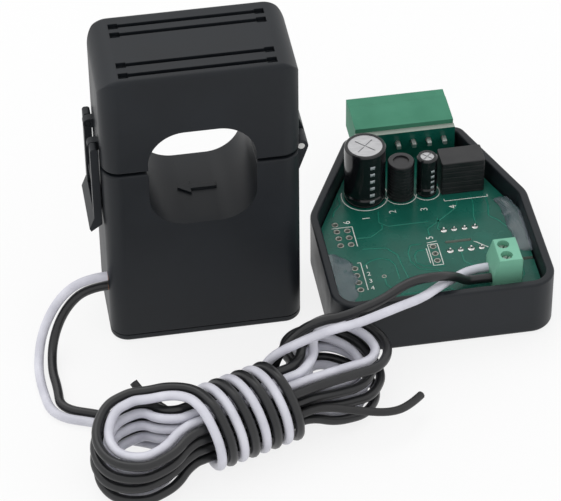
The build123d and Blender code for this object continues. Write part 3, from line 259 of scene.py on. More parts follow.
# %% The coil's ridges and the block's grooves
coil = finishes["inductor_black"]
ridges = node(coil.node_tree, "ShaderNodeTexWave", {
    "Vector": coil.node_tree.nodes[coil["parts"]["place"]].outputs[0], "Scale": 330.0,
    "Distortion": 1.2, "Detail": 2.0, "Detail Scale": 1.0}, bands_direction="Z").outputs["Fac"]
raise_more(coil, ridges, 0.07)

block = finishes["converter_black"]
grooves = node(block.node_tree, "ShaderNodeTexWave", {
    "Vector": block.node_tree.nodes[block["parts"]["place"]].outputs[0],
    "Scale": 210.0, "Distortion": 0.0}, bands_direction="Z").outputs["Fac"]
raise_more(block, spread(block.node_tree, grooves, 0, 1, 0.05, 0.3), 0.05)

# %% Which CAD node gets which finish
node_finishes = {
    "transformer_case": ("ct_base_shell", "ct_bottom_cover", "ct_cap_shell", "latch_clip"),
    "steel": ("hinge_pin", "terminal_screw_front", "terminal_screw_rear", "header_pins",
              "terminal_clamp_front", "terminal_clamp_rear", "terminal_bars",
              "winding_pins", "component_joints"),
    "core": ("core_lower", "core_upper"), "foam": ("core_pad",), "bobbin": ("bobbin",),
    "copper": ("secondary_winding", "lead_tails", "conductor_tips"),
    "tray": ("tray",), "circuit_board": ("main_board",),
    "upright_board": ("terminal_board",),
    "header_green": ("header_body",), "connector_green": ("terminal_body",),
    "can_aluminium": ("large_capacitor_can", "small_capacitor_can"),
    "sleeve_black": ("large_capacitor_sleeve", "small_capacitor_sleeve"),
    "inductor_black": ("inductor",), "converter_black": ("power_converter",),
    "chip_black": ("metering_chip",),
}
for kind, names in node_finishes.items():
    for name in names:
        for material_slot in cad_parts[name].material_slots:
            material_slot.material = finishes[kind]
print("nodes with a finish:", sum(len(names) for names in node_finishes.values()))

# %% [markdown]
# ## The hank of leads
#
# Two thin insulated wires, one white and one black, leave the transformer side by side,
# are folded into four loops, wrapped round their own waist and then run to the board.
# A wire this long could be drawn by hand, point by point. Here the loops follow a rule:
# each fold is a few nodes with a heading, and two arcs join one node to the next. The
# corners of those arcs are all that a NURBS spline needs, so each wire is one spline.
# %% Places along the hank
# A lead's diameter, half the way between the pair's middle lines, and their lowest height
LEAD_D = 2.2
PAIR = 1.38
FLOOR_REST = 1.2
# The waist's half length and middle, and how far its two tracks lie from the hank's middle
WAIST = 12.5
WAIST_AT = -5.0
TRACK = 2.76
# The loops lie in layers, a little further apart at the hank's ends than at its waist
LOOPS = 4
MIDDLE_LAYER = (LOOPS - 1) / 2
LAYER_STEP = 3.0
END_STEP = 3.2
# The hank's place on the floor, and its turn from the x axis in degrees
HANK = Vector((-20.3, -59.2, 0))
HANK_TURN = 19
ALONG = Vector((cos(radians(HANK_TURN)), sin(radians(HANK_TURN)), 0))
ACROSS = UP.cross(ALONG)
# The turns round the waist: how many, their gap to it, their start, and their pitch
TURNS = 4
WRAP_GAP = 0.44
WRAP_FROM = -13.6
WRAP_PITCH = 5.6
WRAP_R = sqrt((TRACK + PAIR) ** 2 + (MIDDLE_LAYER * LAYER_STEP) ** 2) + LEAD_D + WRAP_GAP
WRAP_Z = WRAP_R + FLOOR_REST
# Each fold, layer by layer: how far it reaches, its half width, and how far it lies aside
LEFT_FOLDS = ((37.5, 8.1, 2.4), (37.9, 8.0, 3.1), (37.7, 8.5, 3.1), (37.1, 8.3, 3.2))
RIGHT_FOLDS = ((28.4, 9.3, 4.1), (30.6, 9.6, 5.8), (29.0, 9.6, 6.7), (32.6, 8.2, 5.9))


def hank_vector(u, v, z):
    """A vector given along, across and above the hank, in millimetres."""
    return ALONG * u + ACROSS * v + UP * z


def hank_node(u, v, z, angle, rise=0.0):
    """A place on a wire, and the way the wire runs there."""
    way = hank_vector(cos(radians(angle)), sin(radians(angle)), rise)
    return HANK + hank_vector(u, v, z), way.normalized()


# %% The folds of the pair
def fold_nodes():
    """The middle line of the pair: entry, four loops, and the climb to the wraps."""
    nodes = [hank_node(-31.0, 23.5, FLOOR_REST, -40),
             hank_node(-25.8, 12.6, FLOOR_REST + 1, -50, 0.15)]
    for layer in range(LOOPS):
        waist_z = WRAP_Z + LAYER_STEP * (layer - MIDDLE_LAYER)
        end_z = FLOOR_REST + END_STEP * layer
        reach, wide, aside = RIGHT_FOLDS[layer]
        nodes += [hank_node(WAIST_AT - WAIST, TRACK, waist_z, 0),
                  hank_node(WAIST_AT + WAIST, TRACK, waist_z, 0),
                  hank_node(reach - wide, wide + aside, end_z + 2.6, 0, -0.12),
                  hank_node(reach, aside, end_z + 0.4, -90),
                  hank_node(reach - wide, aside - wide, end_z + 2.0, 180, 0.12),
                  hank_node(WAIST_AT + WAIST, -TRACK, waist_z, 180),
                  hank_node(WAIST_AT - WAIST, -TRACK, waist_z, 180)]
        reach, wide, aside = LEFT_FOLDS[layer]
        lift = int(layer == LOOPS - 1)
        nodes += [hank_node(wide - reach, aside - wide, end_z + 1.8, 180, -0.1),
                  hank_node(-reach, aside, end_z + 0.8 + lift / 2, 90, 0.1),
                  hank_node(wide - reach, wide + aside, end_z + 3.9 + lift, 0, 0.2)]
    nodes += [hank_node(-21.8, 8.5, WRAP_Z + 0.84 * WRAP_R, -23, 0.2),
              hank_node(WRAP_FROM - PAIR, 0, WRAP_Z + WRAP_R, -84)]
    return nodes


# %% Two arcs between two nodes, given by their corners
PARALLEL = 1e-9
STRAIGHT = 1e-4
# Two nodes get one more between them if their headings are alike and the second lies aside
ALIKE = 0.25
ASIDE = 0.5


def off_line(one, other):
    """How far a node lies from the line through the node before it, in mm."""
    return (other[0] - one[0]).cross(one[1]).length


def arc_corners(start, leave, end, arrive):
    """The corners of the two arcs that join one node to the next."""
    span = end - start
    bend = 1 - leave.dot(arrive)
    reach = span.dot(leave + arrive)
    if bend < PARALLEL:
        reach = span.dot(span) / (2 * reach)
    else:
        reach = (sqrt(reach ** 2 + 2 * bend * span.dot(span)) - reach) / (2 * bend)
    return start + leave * reach, end - arrive * reach


def wire_nodes(side):
    """The nodes of one wire of the pair: -1 is the white one and 1 the black one."""
    middle, joined = fold_nodes(), []
    for one, other in zip(middle, middle[1:]):
        joined.append(one)
        if one[1].dot(other[1]) > ALIKE and off_line(one, other) >= ASIDE:
            first, last = arc_corners(*one, *other)
            joined.append(((first + last) / 2, (last - first).normalized()))
    nodes = [(place + UP.cross(way).normalized() * side * PAIR, way)
             for place, way in joined]
    for quarter in range(1, 4 * TURNS + 1):
        angle = radians(90 * quarter)
        u = WRAP_FROM + (side - 1) * PAIR + WRAP_PITCH * (quarter - 1) / 4
        place = HANK + hank_vector(u, WRAP_R * cos(angle), WRAP_Z + WRAP_R * sin(angle))
        way = hank_vector(WRAP_PITCH / (2 * pi), -WRAP_R * sin(angle), WRAP_R * cos(angle))
        nodes.append((place, way.normalized()))
    return nodes


def hank_corners(nodes):
    """The control points of a wire through its nodes."""
    corners = []
    for one, other in zip(nodes, nodes[1:]):
        straight = off_line(one, other) < STRAIGHT
        corners += [one[0], other[0]] if straight else arc_corners(*one, *other)
    return corners


# %% The free stretches at the transformer and over the board
CT_LEFT, CT_FRONT = -49.775, -21.7
TRAY = Vector((26.725, -35.5, 0))
HOLE_Y = CT_FRONT + 4.6
# Where the wires end inside the terminal: x, the two poles' y, and z
INSIDE = 39.975
WHITE_POLE = TRAY.y + 11.205
BLACK_POLE = TRAY.y + 7.395
WIRE_Z = 12.3
# The straight stretch after the last node
AFTER = 6

white_nodes = wire_nodes(-1) + [
    hank_node(18.5, 5.8, WRAP_Z + WRAP_R + 0.7, 0),
    (Vector((6.9, TRAY.y - 7.3, 17.5)), Vector((6.5, 2.5, 0)).normalized())]
black_nodes = wire_nodes(1) + [
    hank_node(19.5, 11.0, WRAP_Z + WRAP_R - 0.9, 3),
    (Vector((3.0, TRAY.y - 4.4, 17.0)), Vector((8.8, 3.4, 0)).normalized())]
white_start = [
    (CT_LEFT + 0.6, HOLE_Y, 17.0), (CT_LEFT - 5.2, HOLE_Y, 17.0),
    (CT_LEFT - 11.4, CT_FRONT + 4.2, 12.7), (CT_LEFT - 16.2, CT_FRONT + 1.1, 5.8),
    (CT_LEFT - 18.2, CT_FRONT - 5.9, FLOOR_REST + 0.5),
    (CT_LEFT - 18.1, CT_FRONT - 13.7, FLOOR_REST)]
black_start = [
    (CT_LEFT + 0.6, HOLE_Y, 14.1), (CT_LEFT - 5.0, HOLE_Y, 14.1),
    (CT_LEFT - 10.4, CT_FRONT + 3.3, 9.8), (CT_LEFT - 14.0, CT_FRONT - 0.5, 4.2),
    (CT_LEFT - 15.2, CT_FRONT - 7.9, FLOOR_REST + 0.1),
    (CT_LEFT - 14.5, CT_FRONT - 14.1, FLOOR_REST)]
white_end = [
    (INSIDE - 19.5, WHITE_POLE - 12.9, WIRE_Z + 4.6),
    (INSIDE - 14.6, WHITE_POLE - 8.8, WIRE_Z + 3.9),
    (INSIDE - 10.2, WHITE_POLE - 3.4, WIRE_Z + 0.8),
    (INSIDE - 5.0, WHITE_POLE, WIRE_Z), (INSIDE, WHITE_POLE, WIRE_Z)]
black_end = [
    (INSIDE - 22.2, BLACK_POLE - 5.6, WIRE_Z + 6.9),
    (INSIDE - 15.8, BLACK_POLE - 5.8, WIRE_Z + 7.7),
    (INSIDE - 10.5, BLACK_POLE - 2.6, WIRE_Z + 4.2),
    (INSIDE - 7.6, BLACK_POLE - 0.6, WIRE_Z + 0.6),
    (INSIDE - 4.8, BLACK_POLE, WIRE_Z), (INSIDE, BLACK_POLE, WIRE_Z)]


def whole_line(start, nodes, end, before):
    """A wire's control points from the transformer to the terminal."""
    return ([Vector(point) for point in start]
            + [nodes[0][0] - nodes[0][1] * (before + LEAD_D)]
            + hank_corners(nodes)
            + [nodes[-1][0] + nodes[-1][1] * (AFTER + LEAD_D)]
            + [Vector(point) for point in end])


# %% [markdown]
# ## Insulation
#
# The white lead is PVC with a faint blue cast and a soft gloss; handling has left it a
# little grey in places. The black one is the same plastic. The tie is a dull black plastic
# one, and only its ends are seen.
# %% Lead and tie finishes
finishes["lead_white"] = finish(
    "white_insulation", (0.58, 0.58, 0.65), (0.70, 0.70, 0.77), (0.3, 0.42),
    patch=160, grain=1300, depth=0.03)
finishes["lead_black"] = finish(
    "black_insulation", (0.0095, 0.0100, 0.0112), (0.0150, 0.0155, 0.0170), (0.28, 0.4),
    patch=160, grain=1300, depth=0.03)
finishes["tie_black"] = finish(
    "tie_plastic", (0.010, 0.010, 0.011), (0.018, 0.018, 0.019), (0.45, 0.6),
    patch=400, grain=2200, depth=0.06)


# %% A wire is one open NURBS spline with a round bevel
def wire(name, line, thick, kind, replaced, body="meter"):
    curve = bpy.data.curves.new(name, "CURVE")
    curve.dimensions = "3D"
    curve.bevel_depth = thick / 2 * MM
    curve.bevel_resolution = 4
    curve.resolution_u = 8
    curve.use_fill_caps = True
    spline = curve.splines.new("NURBS")
    spline.points.add(len(line) - 1)
    for point, place in zip(spline.points, line):
        point.co = (*(place * MM), 1)
    spline.order_u = 3
    spline.use_endpoint_u = True
    curve.materials.append(finishes[kind])
    made = put(name, curve)
    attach(made, body)
    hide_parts(*replaced)


wire("white_lead", whole_line(white_start, white_nodes, white_end, before=7),
     LEAD_D, "lead_white", ("lead_white_ct_end", "lead_white_hank", "lead_white_board_end"))
wire("black_lead", whole_line(black_start, black_nodes, black_end, before=6),
     LEAD_D, "lead_black", ("lead_black_ct_end", "lead_black_hank", "lead_black_board_end"))

# %% The tie's two ends
TIE_D = 1.9
tie_left_line = [HANK + hank_vector(*point) for point in (
    (-0.5, 6.2, WRAP_Z), (-12.0, 6.2, WRAP_Z), (-18.0, 6.2, WRAP_Z),
    (-20.0, 11.6, WRAP_Z), (-22.2, 15.6, WRAP_Z + 1.2), (-23.0, 18.4, WRAP_Z + 3.0))]
tie_right_line = [HANK + hank_vector(*point) for point in (
    (-4.0, -6.2, WRAP_Z), (6.0, -6.2, WRAP_Z), (11.6, -6.2, WRAP_Z),
    (18.6, -10.8, WRAP_Z - 0.8),
    (25.2, -12.6, WRAP_Z - 3.0), (30.8, -11.8, WRAP_Z - 4.4),
    (35.8, -9.0, WRAP_Z - 5.4))]
wire("tie_left", tie_left_line, TIE_D, "tie_black", ("tie_left_end",))
wire("tie_right", tie_right_line, TIE_D, "tie_black", ("tie_right_end",))

# %% [markdown]
# ## Geometry Nodes for what repeats
#
# Solder joints, pads and printed lines are all "the same thing at many places" or "one
# section along a path". A Geometry Nodes tree makes them from a handful of points, with
# their sizes as named inputs. The result is turned into a plain mesh at the end, because
# other programs know meshes and not modifiers.
# %% Helpers for the trees
def new_tree(name, *sizes):
    """An empty geometry tree with a geometry input and named size inputs."""
    tree = bpy.data.node_groups.new(name, "GeometryNodeTree")
    tree.interface.new_socket("Geometry", in_out="INPUT", socket_type="NodeSocketGeometry")
    for size in sizes:
        tree.interface.new_socket(size, in_out="INPUT", socket_type="NodeSocketFloat")
    tree.interface.new_socket("Geometry", in_out="OUTPUT", socket_type="NodeSocketGeometry")
    return tree, node(tree, "NodeGroupInput").outputs


def end_tree(tree, geometry, material):
    """Ends a tree in Realize Instances and Set Material."""
    plain = node(tree, "GeometryNodeRealizeInstances", {0: geometry}).outputs[0]
    made = node(tree, "GeometryNodeSetMaterial", {"Geometry": plain, "Material": material})
    node(tree, "NodeGroupOutput", {0: made.outputs[0]})


def grow(name, places, lines, tree, sizes):
    """Runs a tree on points, in mm, and the lines between them, and keeps a plain mesh."""
    start = bpy.data.meshes.new(name + "_start")
    start.from_pydata([Vector(place) * MM for place in places], lines, [])
    made = put(name, start)
    grower = made.modifiers.new("grow", "NODES")
    grower.node_group = tree
    for socket in tree.interface.items_tree:
        if socket.in_out == "INPUT" and socket.name in sizes:
            grower[socket.identifier] = sizes[socket.name]
    graph = bpy.context.evaluated_depsgraph_get()
    plain = bpy.data.meshes.new_from_object(made.evaluated_get(graph))
    made.modifiers.remove(grower)
    made.data = plain
    print(name, "has", len(plain.polygons), "faces from", len(places), "points")
    return made


def settle(made, kind, *replaced, body="meter"):
    """Puts a finished piece on its body and hides the parts it replaces; kind is not used."""
    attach(made, body)
    if replaced:
        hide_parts(*replaced)


# %% [markdown]
# ## Solder joints
#
# Solder climbs a pin in a hollow cone and ends in a rounded tip. Turning a drawn profile
# gives that, but then every joint is the same. The tree takes a cone, pinches it with the
# third power of its height, rounds the tip, and puts it on each pin at its own size.
# %% The solder tree
tree, given = new_tree("solder_joints", "Foot radius", "Neck radius", "Height", "Lean",
                       "Smallest", "Largest")
cone = node(tree, "GeometryNodeMeshCone", {
    "Vertices": 20, "Side Segments": 8, "Fill Segments": 3, "Radius Top": 1.0,
    "Radius Bottom": 1.0, "Depth": 1.0}).outputs["Mesh"]
x, y, z = node(tree, "ShaderNodeSeparateXYZ", {
    0: node(tree, "GeometryNodeInputPosition").outputs[0]}).outputs
pinch = maths(tree, "POWER", maths(tree, "SUBTRACT", 1.0, z), 3.0)
reach = maths(tree, "SUBTRACT", given["Foot radius"], given["Neck radius"])
width = maths(tree, "ADD", given["Neck radius"], maths(tree, "MULTIPLY", reach, pinch))
inside = maths(tree, "SUBTRACT", 1.0, maths(tree, "ADD", maths(tree, "MULTIPLY", x, x),
                                            maths(tree, "MULTIPLY", y, y)))
dome = maths(tree, "MULTIPLY", maths(tree, "MULTIPLY", inside, z), given["Neck radius"])
height = maths(tree, "ADD", maths(tree, "MULTIPLY", z, given["Height"]), dome)
moved = node(tree, "ShaderNodeCombineXYZ", {
    0: maths(tree, "MULTIPLY", x, width), 1: maths(tree, "MULTIPLY", y, width), 2: height})
joint = node(tree, "GeometryNodeSetPosition", {0: cone, "Position": moved.outputs[0]})
joint = node(tree, "GeometryNodeSetShadeSmooth", {0: joint.outputs[0]})
size = node(tree, "FunctionNodeRandomValue", {
    2: given["Smallest"], 3: given["Largest"], "Seed": 4}, data_type="FLOAT").outputs[1]
lean = node(tree, "ShaderNodeCombineXYZ", {0: given["Lean"]}).outputs[0]
spots = node(tree, "GeometryNodeInstanceOnPoints", {
    "Points": given["Geometry"], "Instance": joint.outputs[0], "Rotation": lean, "Scale": size})
end_tree(tree, spots.outputs[0], finishes["solder"])
solder_tree = tree

# %% Joints on the header's pins and on the chip's legs
# The board's top, how deep a joint's foot is sunk, and the places of pins and legs
BOARD = 9.8
SUNK = 0.02
PIN_PITCH = 2.54
HEADER_PITCH = 3.81
HEADER_WAYS = 6
CHIP_X, CHIP_Y, CHIP_HALF_ROW = 9, 25, 3.81
CHIP_LEGS_A_ROW = 4

low, high = (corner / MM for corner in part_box("header_solder_joints"))
middle_x = (low.x + high.x) / 2
header_pins = [(middle_x + HEADER_PITCH * (way - (HEADER_WAYS - 1) / 2), high.y + SUNK,
                (low.z + high.z) / 2) for way in range(HEADER_WAYS)]
settle(grow("header_joints", header_pins, [], solder_tree, {
    "Foot radius": 1.3 * MM, "Neck radius": 0.52 * MM, "Height": 1.55 * MM,
    "Lean": radians(90), "Smallest": 0.88, "Largest": 1.02}), "solder", "header_solder_joints")

chip_legs = [TRAY + Vector((CHIP_X + PIN_PITCH * (leg - (CHIP_LEGS_A_ROW - 1) / 2),
                            CHIP_Y + row * CHIP_HALF_ROW, BOARD - SUNK))
             for row in (-1, 1) for leg in range(CHIP_LEGS_A_ROW)]
settle(grow("chip_joints", chip_legs, [], solder_tree, {
    "Foot radius": 0.93 * MM, "Neck radius": 0.36 * MM, "Height": 0.62 * MM,
    "Lean": 0.0, "Smallest": 0.82, "Largest": 1.05}), "solder", "chip_solder_joints")

# %% [markdown]
# ## Pads round the free holes
#
# Each hole of the board that has no pin in it is ringed by a tinned copper pad. A pad is
# a flat ring, so the tree sweeps a thin rectangle round a circle and copies it.
# %% The pad tree and the board's free holes
tree, given = new_tree("pads", "Middle radius", "Ring width", "Thickness")
ring = node(tree, "GeometryNodeCurvePrimitiveCircle", {
    "Resolution": 28, "Radius": given["Middle radius"]}, mode="RADIUS").outputs[0]
section = node(tree, "GeometryNodeCurvePrimitiveQuadrilateral", {
    "Width": given["Ring width"], "Height": given["Thickness"]}, mode="RECTANGLE").outputs[0]
pad = node(tree, "GeometryNodeCurveToMesh", {0: ring, "Profile Curve": section}).outputs[0]
spots = node(tree, "GeometryNodeInstanceOnPoints", {
    "Points": given["Geometry"], "Instance": pad}).outputs[0]
finishes["pad"] = finish("tinned_pad", (0.34, 0.34, 0.31), (0.52, 0.51, 0.47), (0.3, 0.45),
                         patch=1500, grain=3000, depth=0.02, Metallic=1.0)
end_tree(tree, spots, finishes["pad"])
pad_tree = tree

# Each row of holes: its middle's x and y over the tray, and how many holes it has
HOLE_ROWS = ((1.5, 20.9, 3), (-20.0, 31.4, 4), (-17.46, 30.1, 3), (-18.2, 15.1, 4))
PAD_Z = BOARD + 0.02
free_holes = [TRAY + Vector((x, y + PIN_PITCH * (hole - (count - 1) / 2), PAD_Z))
              for x, y, count in HOLE_ROWS for hole in range(count)]
settle(grow("hole_pads", free_holes, [], pad_tree, {
    "Middle radius": 0.68 * MM, "Ring width": 0.3 * MM, "Thickness": 0.05 * MM}), "solder")
settle(grow("via_pad", [TRAY + Vector((-11.9, 15.0, PAD_Z))], [], pad_tree, {
    "Middle radius": 0.48 * MM, "Ring width": 0.2 * MM, "Thickness": 0.05 * MM}), "solder")

# %% [markdown]
# ## Copper traces and the white print
#
# Under the lacquer run copper traces, seen as slightly raised, paler green bands, and on
# top lies the white component print. Both are flat bands along a path, so one tree makes
# both: the path's corners are rounded, and a thin rectangle is swept along it. Plain
# numbers stand beside the holes and the components.
# %% The band tree
def band_tree(name, material):
    """A tree that lays a flat band along lines."""
    tree, given = new_tree(name, "Band width", "Thickness", "Corner radius")
    path = node(tree, "GeometryNodeMeshToCurve", {0: given["Geometry"]}).outputs[0]
    path = node(tree, "GeometryNodeFilletCurve", {
        0: path, "Count": 4, "Radius": given["Corner radius"], "Limit Radius": True},
        mode="POLY").outputs[0]
    path = node(tree, "GeometryNodeSetCurveNormal", {0: path}, mode="Z_UP").outputs[0]
    section = node(tree, "GeometryNodeCurvePrimitiveQuadrilateral", {
        "Width": given["Band width"], "Height": given["Thickness"]},
        mode="RECTANGLE").outputs[0]
    band = node(tree, "GeometryNodeCurveToMesh", {
        0: path, "Profile Curve": section, "Fill Caps": True}).outputs[0]
    end_tree(tree, band, material)
    return tree


def on_board(paths, height):
    """Points and lines of several paths, given in mm over the tray."""
    places, lines = [], []
    for path in paths:
        first = len(places)
        places += [TRAY + Vector((x, y, height)) for x, y in path]
        lines += [(first + step, first + step + 1) for step in range(len(path) - 1)]
    return places, lines


# %% The traces
finishes["trace"] = finish(
    "lacquer_over_copper", (0.0120, 0.160, 0.112), (0.0165, 0.190, 0.135), (0.2, 0.3),
    patch=140, grain=1600, depth=0.01, Specular_IOR_Level=0.3)
TRACE_Z = BOARD + 0.012
TRACES = (
    ((10.6, 39.0), (9.8, 36.6), (6.1, 33.5), (1.5, 30.0), (1.5, 27.6)),
    ((14.2, 40.6), (14.2, 37.2), (13.3, 32.6), (13.3, 29.8)),
    ((17.7, 40.0), (17.7, 36.6), (16.9, 32.2), (18.8, 30.3), (21.3, 25.9), (21.3, 18.0)),
    ((-1.0, 24.8), (-3.8, 24.8), (-4.8, 22.0), (-4.8, 19.2), (-3.2, 16.1), (1.1, 15.0),
     (3.5, 12.4), (11.0, 12.4)),
    ((0.3, 22.6), (-2.4, 22.6), (-3.5, 20.9), (-3.5, 18.4), (-2.0, 16.9), (3.0, 16.2)),
    ((-15.1, 25.4), (-9.6, 24.9), (-7.4, 21.9), (-7.1, 18.5), (-6.4, 13.0), (-8.6, 9.4)),
    ((-17.0, 18.7), (-14.1, 20.9), (-12.0, 21.5), (-9.6, 20.6), (-8.6, 18.4), (-8.5, 13.4)),
    ((4.6, 33.4), (4.6, 31.7), (3.6, 29.3), (5.2, 28.8)),
    ((7.7, 21.2), (7.7, 16.9), (9.4, 15.2), (11.6, 15.2)),
    ((-8.9, 38.4), (-9.5, 34.3), (-7.6, 32.6), (2.2, 32.6)),
    ((-20.0, 38.2), (-19.4, 40.0), (-17.4, 42.6), (-17.4, 46.0)),
    ((-16.0, 29.4), (-12.4, 29.4), (-9.0, 32.0), (-9.0, 33.2)),
    ((-11.9, 15.0), (-11.9, 12.0), (-9.2, 8.0), (2.4, 8.0), (5.0, 6.4), (12.0, 6.4)),
    ((20.6, 15.0), (20.6, 10.2), (18.6, 7.0)),
)
settle(grow("traces", *on_board(TRACES, TRACE_Z), band_tree(
    "trace_bands", finishes["trace"]), {
    "Band width": 0.42 * MM, "Thickness": 0.05 * MM, "Corner radius": 0.9 * MM}),
    "circuit_board")

# %% The white print
finishes["print"] = finish(
    "white_print", (0.62, 0.66, 0.62), (0.78, 0.80, 0.76), (0.5, 0.65),
    patch=1200, grain=4000, depth=0.01)


def ring_path(x, y, radius, start, stop):
    """An arc's corners for the print round a can."""
    steps = 36
    return [(x + radius * cos(radians(start + (stop - start) * step / steps)),
             y + radius * sin(radians(start + (stop - start) * step / steps)))
            for step in range(steps + 1)]


PRINT_Z = BOARD + 0.035
PRINT = [
    ring_path(-11.0, 44.7, 5.65, 160, 380), ring_path(-2.35, 43.8, 3.9, 190, 350),
    ring_path(4.0, 43.6, 3.2, 150, 390),
    [(7.6, 40.1), (7.6, 39.3), (18.2, 39.3), (18.2, 40.1)],
    [(0.3, 24.3), (2.7, 24.3), (2.7, 16.7), (0.3, 16.7), (0.3, 24.3)],
    [(0.3, 24.9), (2.7, 25.2)],
    [(-0.25, 23.0), (-0.25, 17.6)],
    [(-21.0, 33.9), (-16.1, 33.9), (-16.1, 26.6)],
    [(-17.3, 20.7), (-16.5, 20.7), (-16.5, 10.9)],
    [(11.4, 23.6), (12.0, 23.2), (14.4, 20.9)],
]
settle(grow("board_print", *on_board(PRINT, PRINT_Z), band_tree(
    "print_bands", finishes["print"]), {
    "Band width": 0.21 * MM, "Thickness": 0.03 * MM, "Corner radius": 0.02 * MM}),
    "circuit_board")

# %% Plain numbers beside the holes and the components
# Each number: its place over the tray, its height, and its turn in degrees
NUMBERS = (("1", -12.1, 36.3, 2.625, 90), ("2", -5.4, 37.6, 2.5, 90),
           ("3", 2.2, 37.2, 2.5, 90), ("4", 9.2, 36.9, 2.5, 90),
           ("1", -15.3, 18.9, 1.875, 0), ("2", -15.3, 16.4, 1.875, 0),
           ("3", -15.3, 13.9, 1.875, 0), ("4", -15.3, 11.4, 1.875, 0),
           ("5", 1.4, 26.6, 2.375, 90), ("6", -17.0, 35.6, 2.375, 90))
HALF_INK = 0.015
joined = bmesh.new()
for word, x, y, tall, angle in NUMBERS:
    letter = bpy.data.curves.new("number", "FONT")
    letter.body = word
    letter.size = tall * MM
    letter.extrude = HALF_INK * MM
    letter.align_x, letter.align_y = "CENTER", "CENTER"
    written = put("number", letter)
    graph = bpy.context.evaluated_depsgraph_get()
    mesh = bpy.data.meshes.new_from_object(written.evaluated_get(graph))
    mesh.transform(Matrix.Translation((TRAY + Vector((x, y, PRINT_Z))) * MM)
                   @ Matrix.Rotation(radians(angle), 4, "Z"))
    joined.from_mesh(mesh)
    bpy.data.objects.remove(written)
numbers = bpy.data.meshes.new("board_numbers")
joined.to_mesh(numbers)
joined.free()
numbers.materials.append(finishes["print"])
settle(put("board_numbers", numbers), "circuit_board")
print("numbers on the board:", len(NUMBERS))

# %% [markdown]
# ## Hot glue along the walls
#
# The board is held by two smears of hot-melt glue, squeezed along the left and the right
# wall. Glue is neither a box nor a neat fillet: it stands highest at the wall, thins to an
# uneven edge, and sets in lumps. A grid follows the wall, and its height is worked out
# from those three facts and a noise, which is quicker than sculpting and can be repeated.
# %% A smear of glue
LUMPS_A_MM = 0.22
# The tray's inner wall: its x, and where and how fast the right one runs inwards
WALL_X = 24.5
CORNER_FROM = 31.5
CORNER_SLOPE = 0.3


def smear(name, wall_x, side, start, stop, wide, tall, seed, replaced):
    """A closed lump of glue along a wall; side is 1 where the board is to its right."""
    along, across = 64, 14
    verts, faces = [], []
    for top in (1, 0):
        for i in range(along + 1):
            y = start + (stop - start) * i / along
            taper = sin(pi * i / along) ** 0.35
            edge = 0.78 + 0.34 * noise.noise(Vector((y * LUMPS_A_MM, seed, 0)))
            for j in range(across + 1):
                v = j / across
                x = wall_x(y) + side * wide * v * edge * (0.35 + 0.65 * taper)
                lump = 1 + 0.2 * noise.noise(Vector((x * LUMPS_A_MM, y * LUMPS_A_MM, seed)))
                rise = tall * taper * lump * (1 - v ** 1.6) ** 0.8
                z = BOARD + (max(rise, SUNK) if top else -SUNK)
                verts.append((TRAY + Vector((x, y, z))) * MM)
    row, layer = across + 1, (along + 1) * (across + 1)
    for i in range(along):
        for j in range(across):
            a = i * row + j
            faces.append((a, a + 1, a + row + 1, a + row))
            faces.append((layer + a, layer + a + row, layer + a + row + 1, layer + a + 1))
    rim = ([(i * row, (i + 1) * row) for i in range(along)]
           + [(along * row + j, along * row + j + 1) for j in range(across)]
           + [((i + 1) * row + across, i * row + across) for i in range(along)]
           + [(j + 1, j) for j in range(across)])
    faces += [(a, b, layer + b, layer + a) for a, b in rim]
    mesh = bpy.data.meshes.new(name)
    mesh.from_pydata(verts, [], faces)
    shaped = bmesh.new()
    shaped.from_mesh(mesh)
    bmesh.ops.recalc_face_normals(shaped, faces=shaped.faces)
    shaped.to_mesh(mesh)
    shaped.free()
    mesh.shade_smooth()
    mesh.materials.append(finishes["glue"])
    settle(put(name, mesh), "glue", replaced)
    print(name, "is", stop - start, "mm long")


smear("glue_smear_left", lambda y: -WALL_X, side=1, start=4.0, stop=25.0,
      wide=7.4, tall=1.25, seed=3.0, replaced="glue_left")
smear("glue_smear_right", lambda y: WALL_X - CORNER_SLOPE * max(0, y - CORNER_FROM), side=-1,
      start=18.0, stop=38.5, wide=5.4, tall=1.35, seed=8.0, replaced="glue_right")

# %% [markdown]
# ## Print on the sleeves
#
# A capacitor's sleeve carries a pale stripe that marks its negative side. Here the stripe
# is a plain column of dashes. Each dash is bent to the can's radius and stands proud by a
# few hundredths of a millimetre.
# %% Dashes bent round a can
BENDS = 6
# How far a dash's outer and inner faces stand from the sleeve's
DASH_FACES = (0.03, -0.05)


def dashes(name, sleeve, marks):
    """Thin closed patches on a can: angle, angle, height, height."""
    low, high = (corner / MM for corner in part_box(sleeve))
    centre, radius = (low + high) / 2, (high.x - low.x) / 2
    shaped = bmesh.new()
    for start, stop, bottom, top in marks:
        grid = []
        for step in range(BENDS + 1):
            angle = radians(start + (stop - start) * step / BENDS)
            out = Vector((cos(angle), sin(angle), 0))
            grid.append([shaped.verts.new((Vector((centre.x, centre.y, z))
                                           + out * (radius + skin)) * MM)
                         for skin in DASH_FACES for z in (bottom, top)])
        for one, other in zip(grid, grid[1:]):
            shaped.faces.new((one[0], other[0], other[1], one[1]))
            shaped.faces.new((other[2], one[2], one[3], other[3]))
            shaped.faces.new((one[1], other[1], other[3], one[3]))
            shaped.faces.new((other[0], one[0], one[2], other[2]))
        shaped.faces.new((grid[0][0], grid[0][1], grid[0][3], grid[0][2]))
        shaped.faces.new((grid[-1][1], grid[-1][0], grid[-1][2], grid[-1][3]))
    bmesh.ops.recalc_face_normals(shaped, faces=shaped.faces)
    mesh = bpy.data.meshes.new(name)
    shaped.to_mesh(mesh)
    shaped.free()
    mesh.shade_smooth()
    mesh.materials.append(finishes["sleeve_print"])
    settle(put(name, mesh), "sleeve_black")
    print(name, "has", len(marks), "dashes")


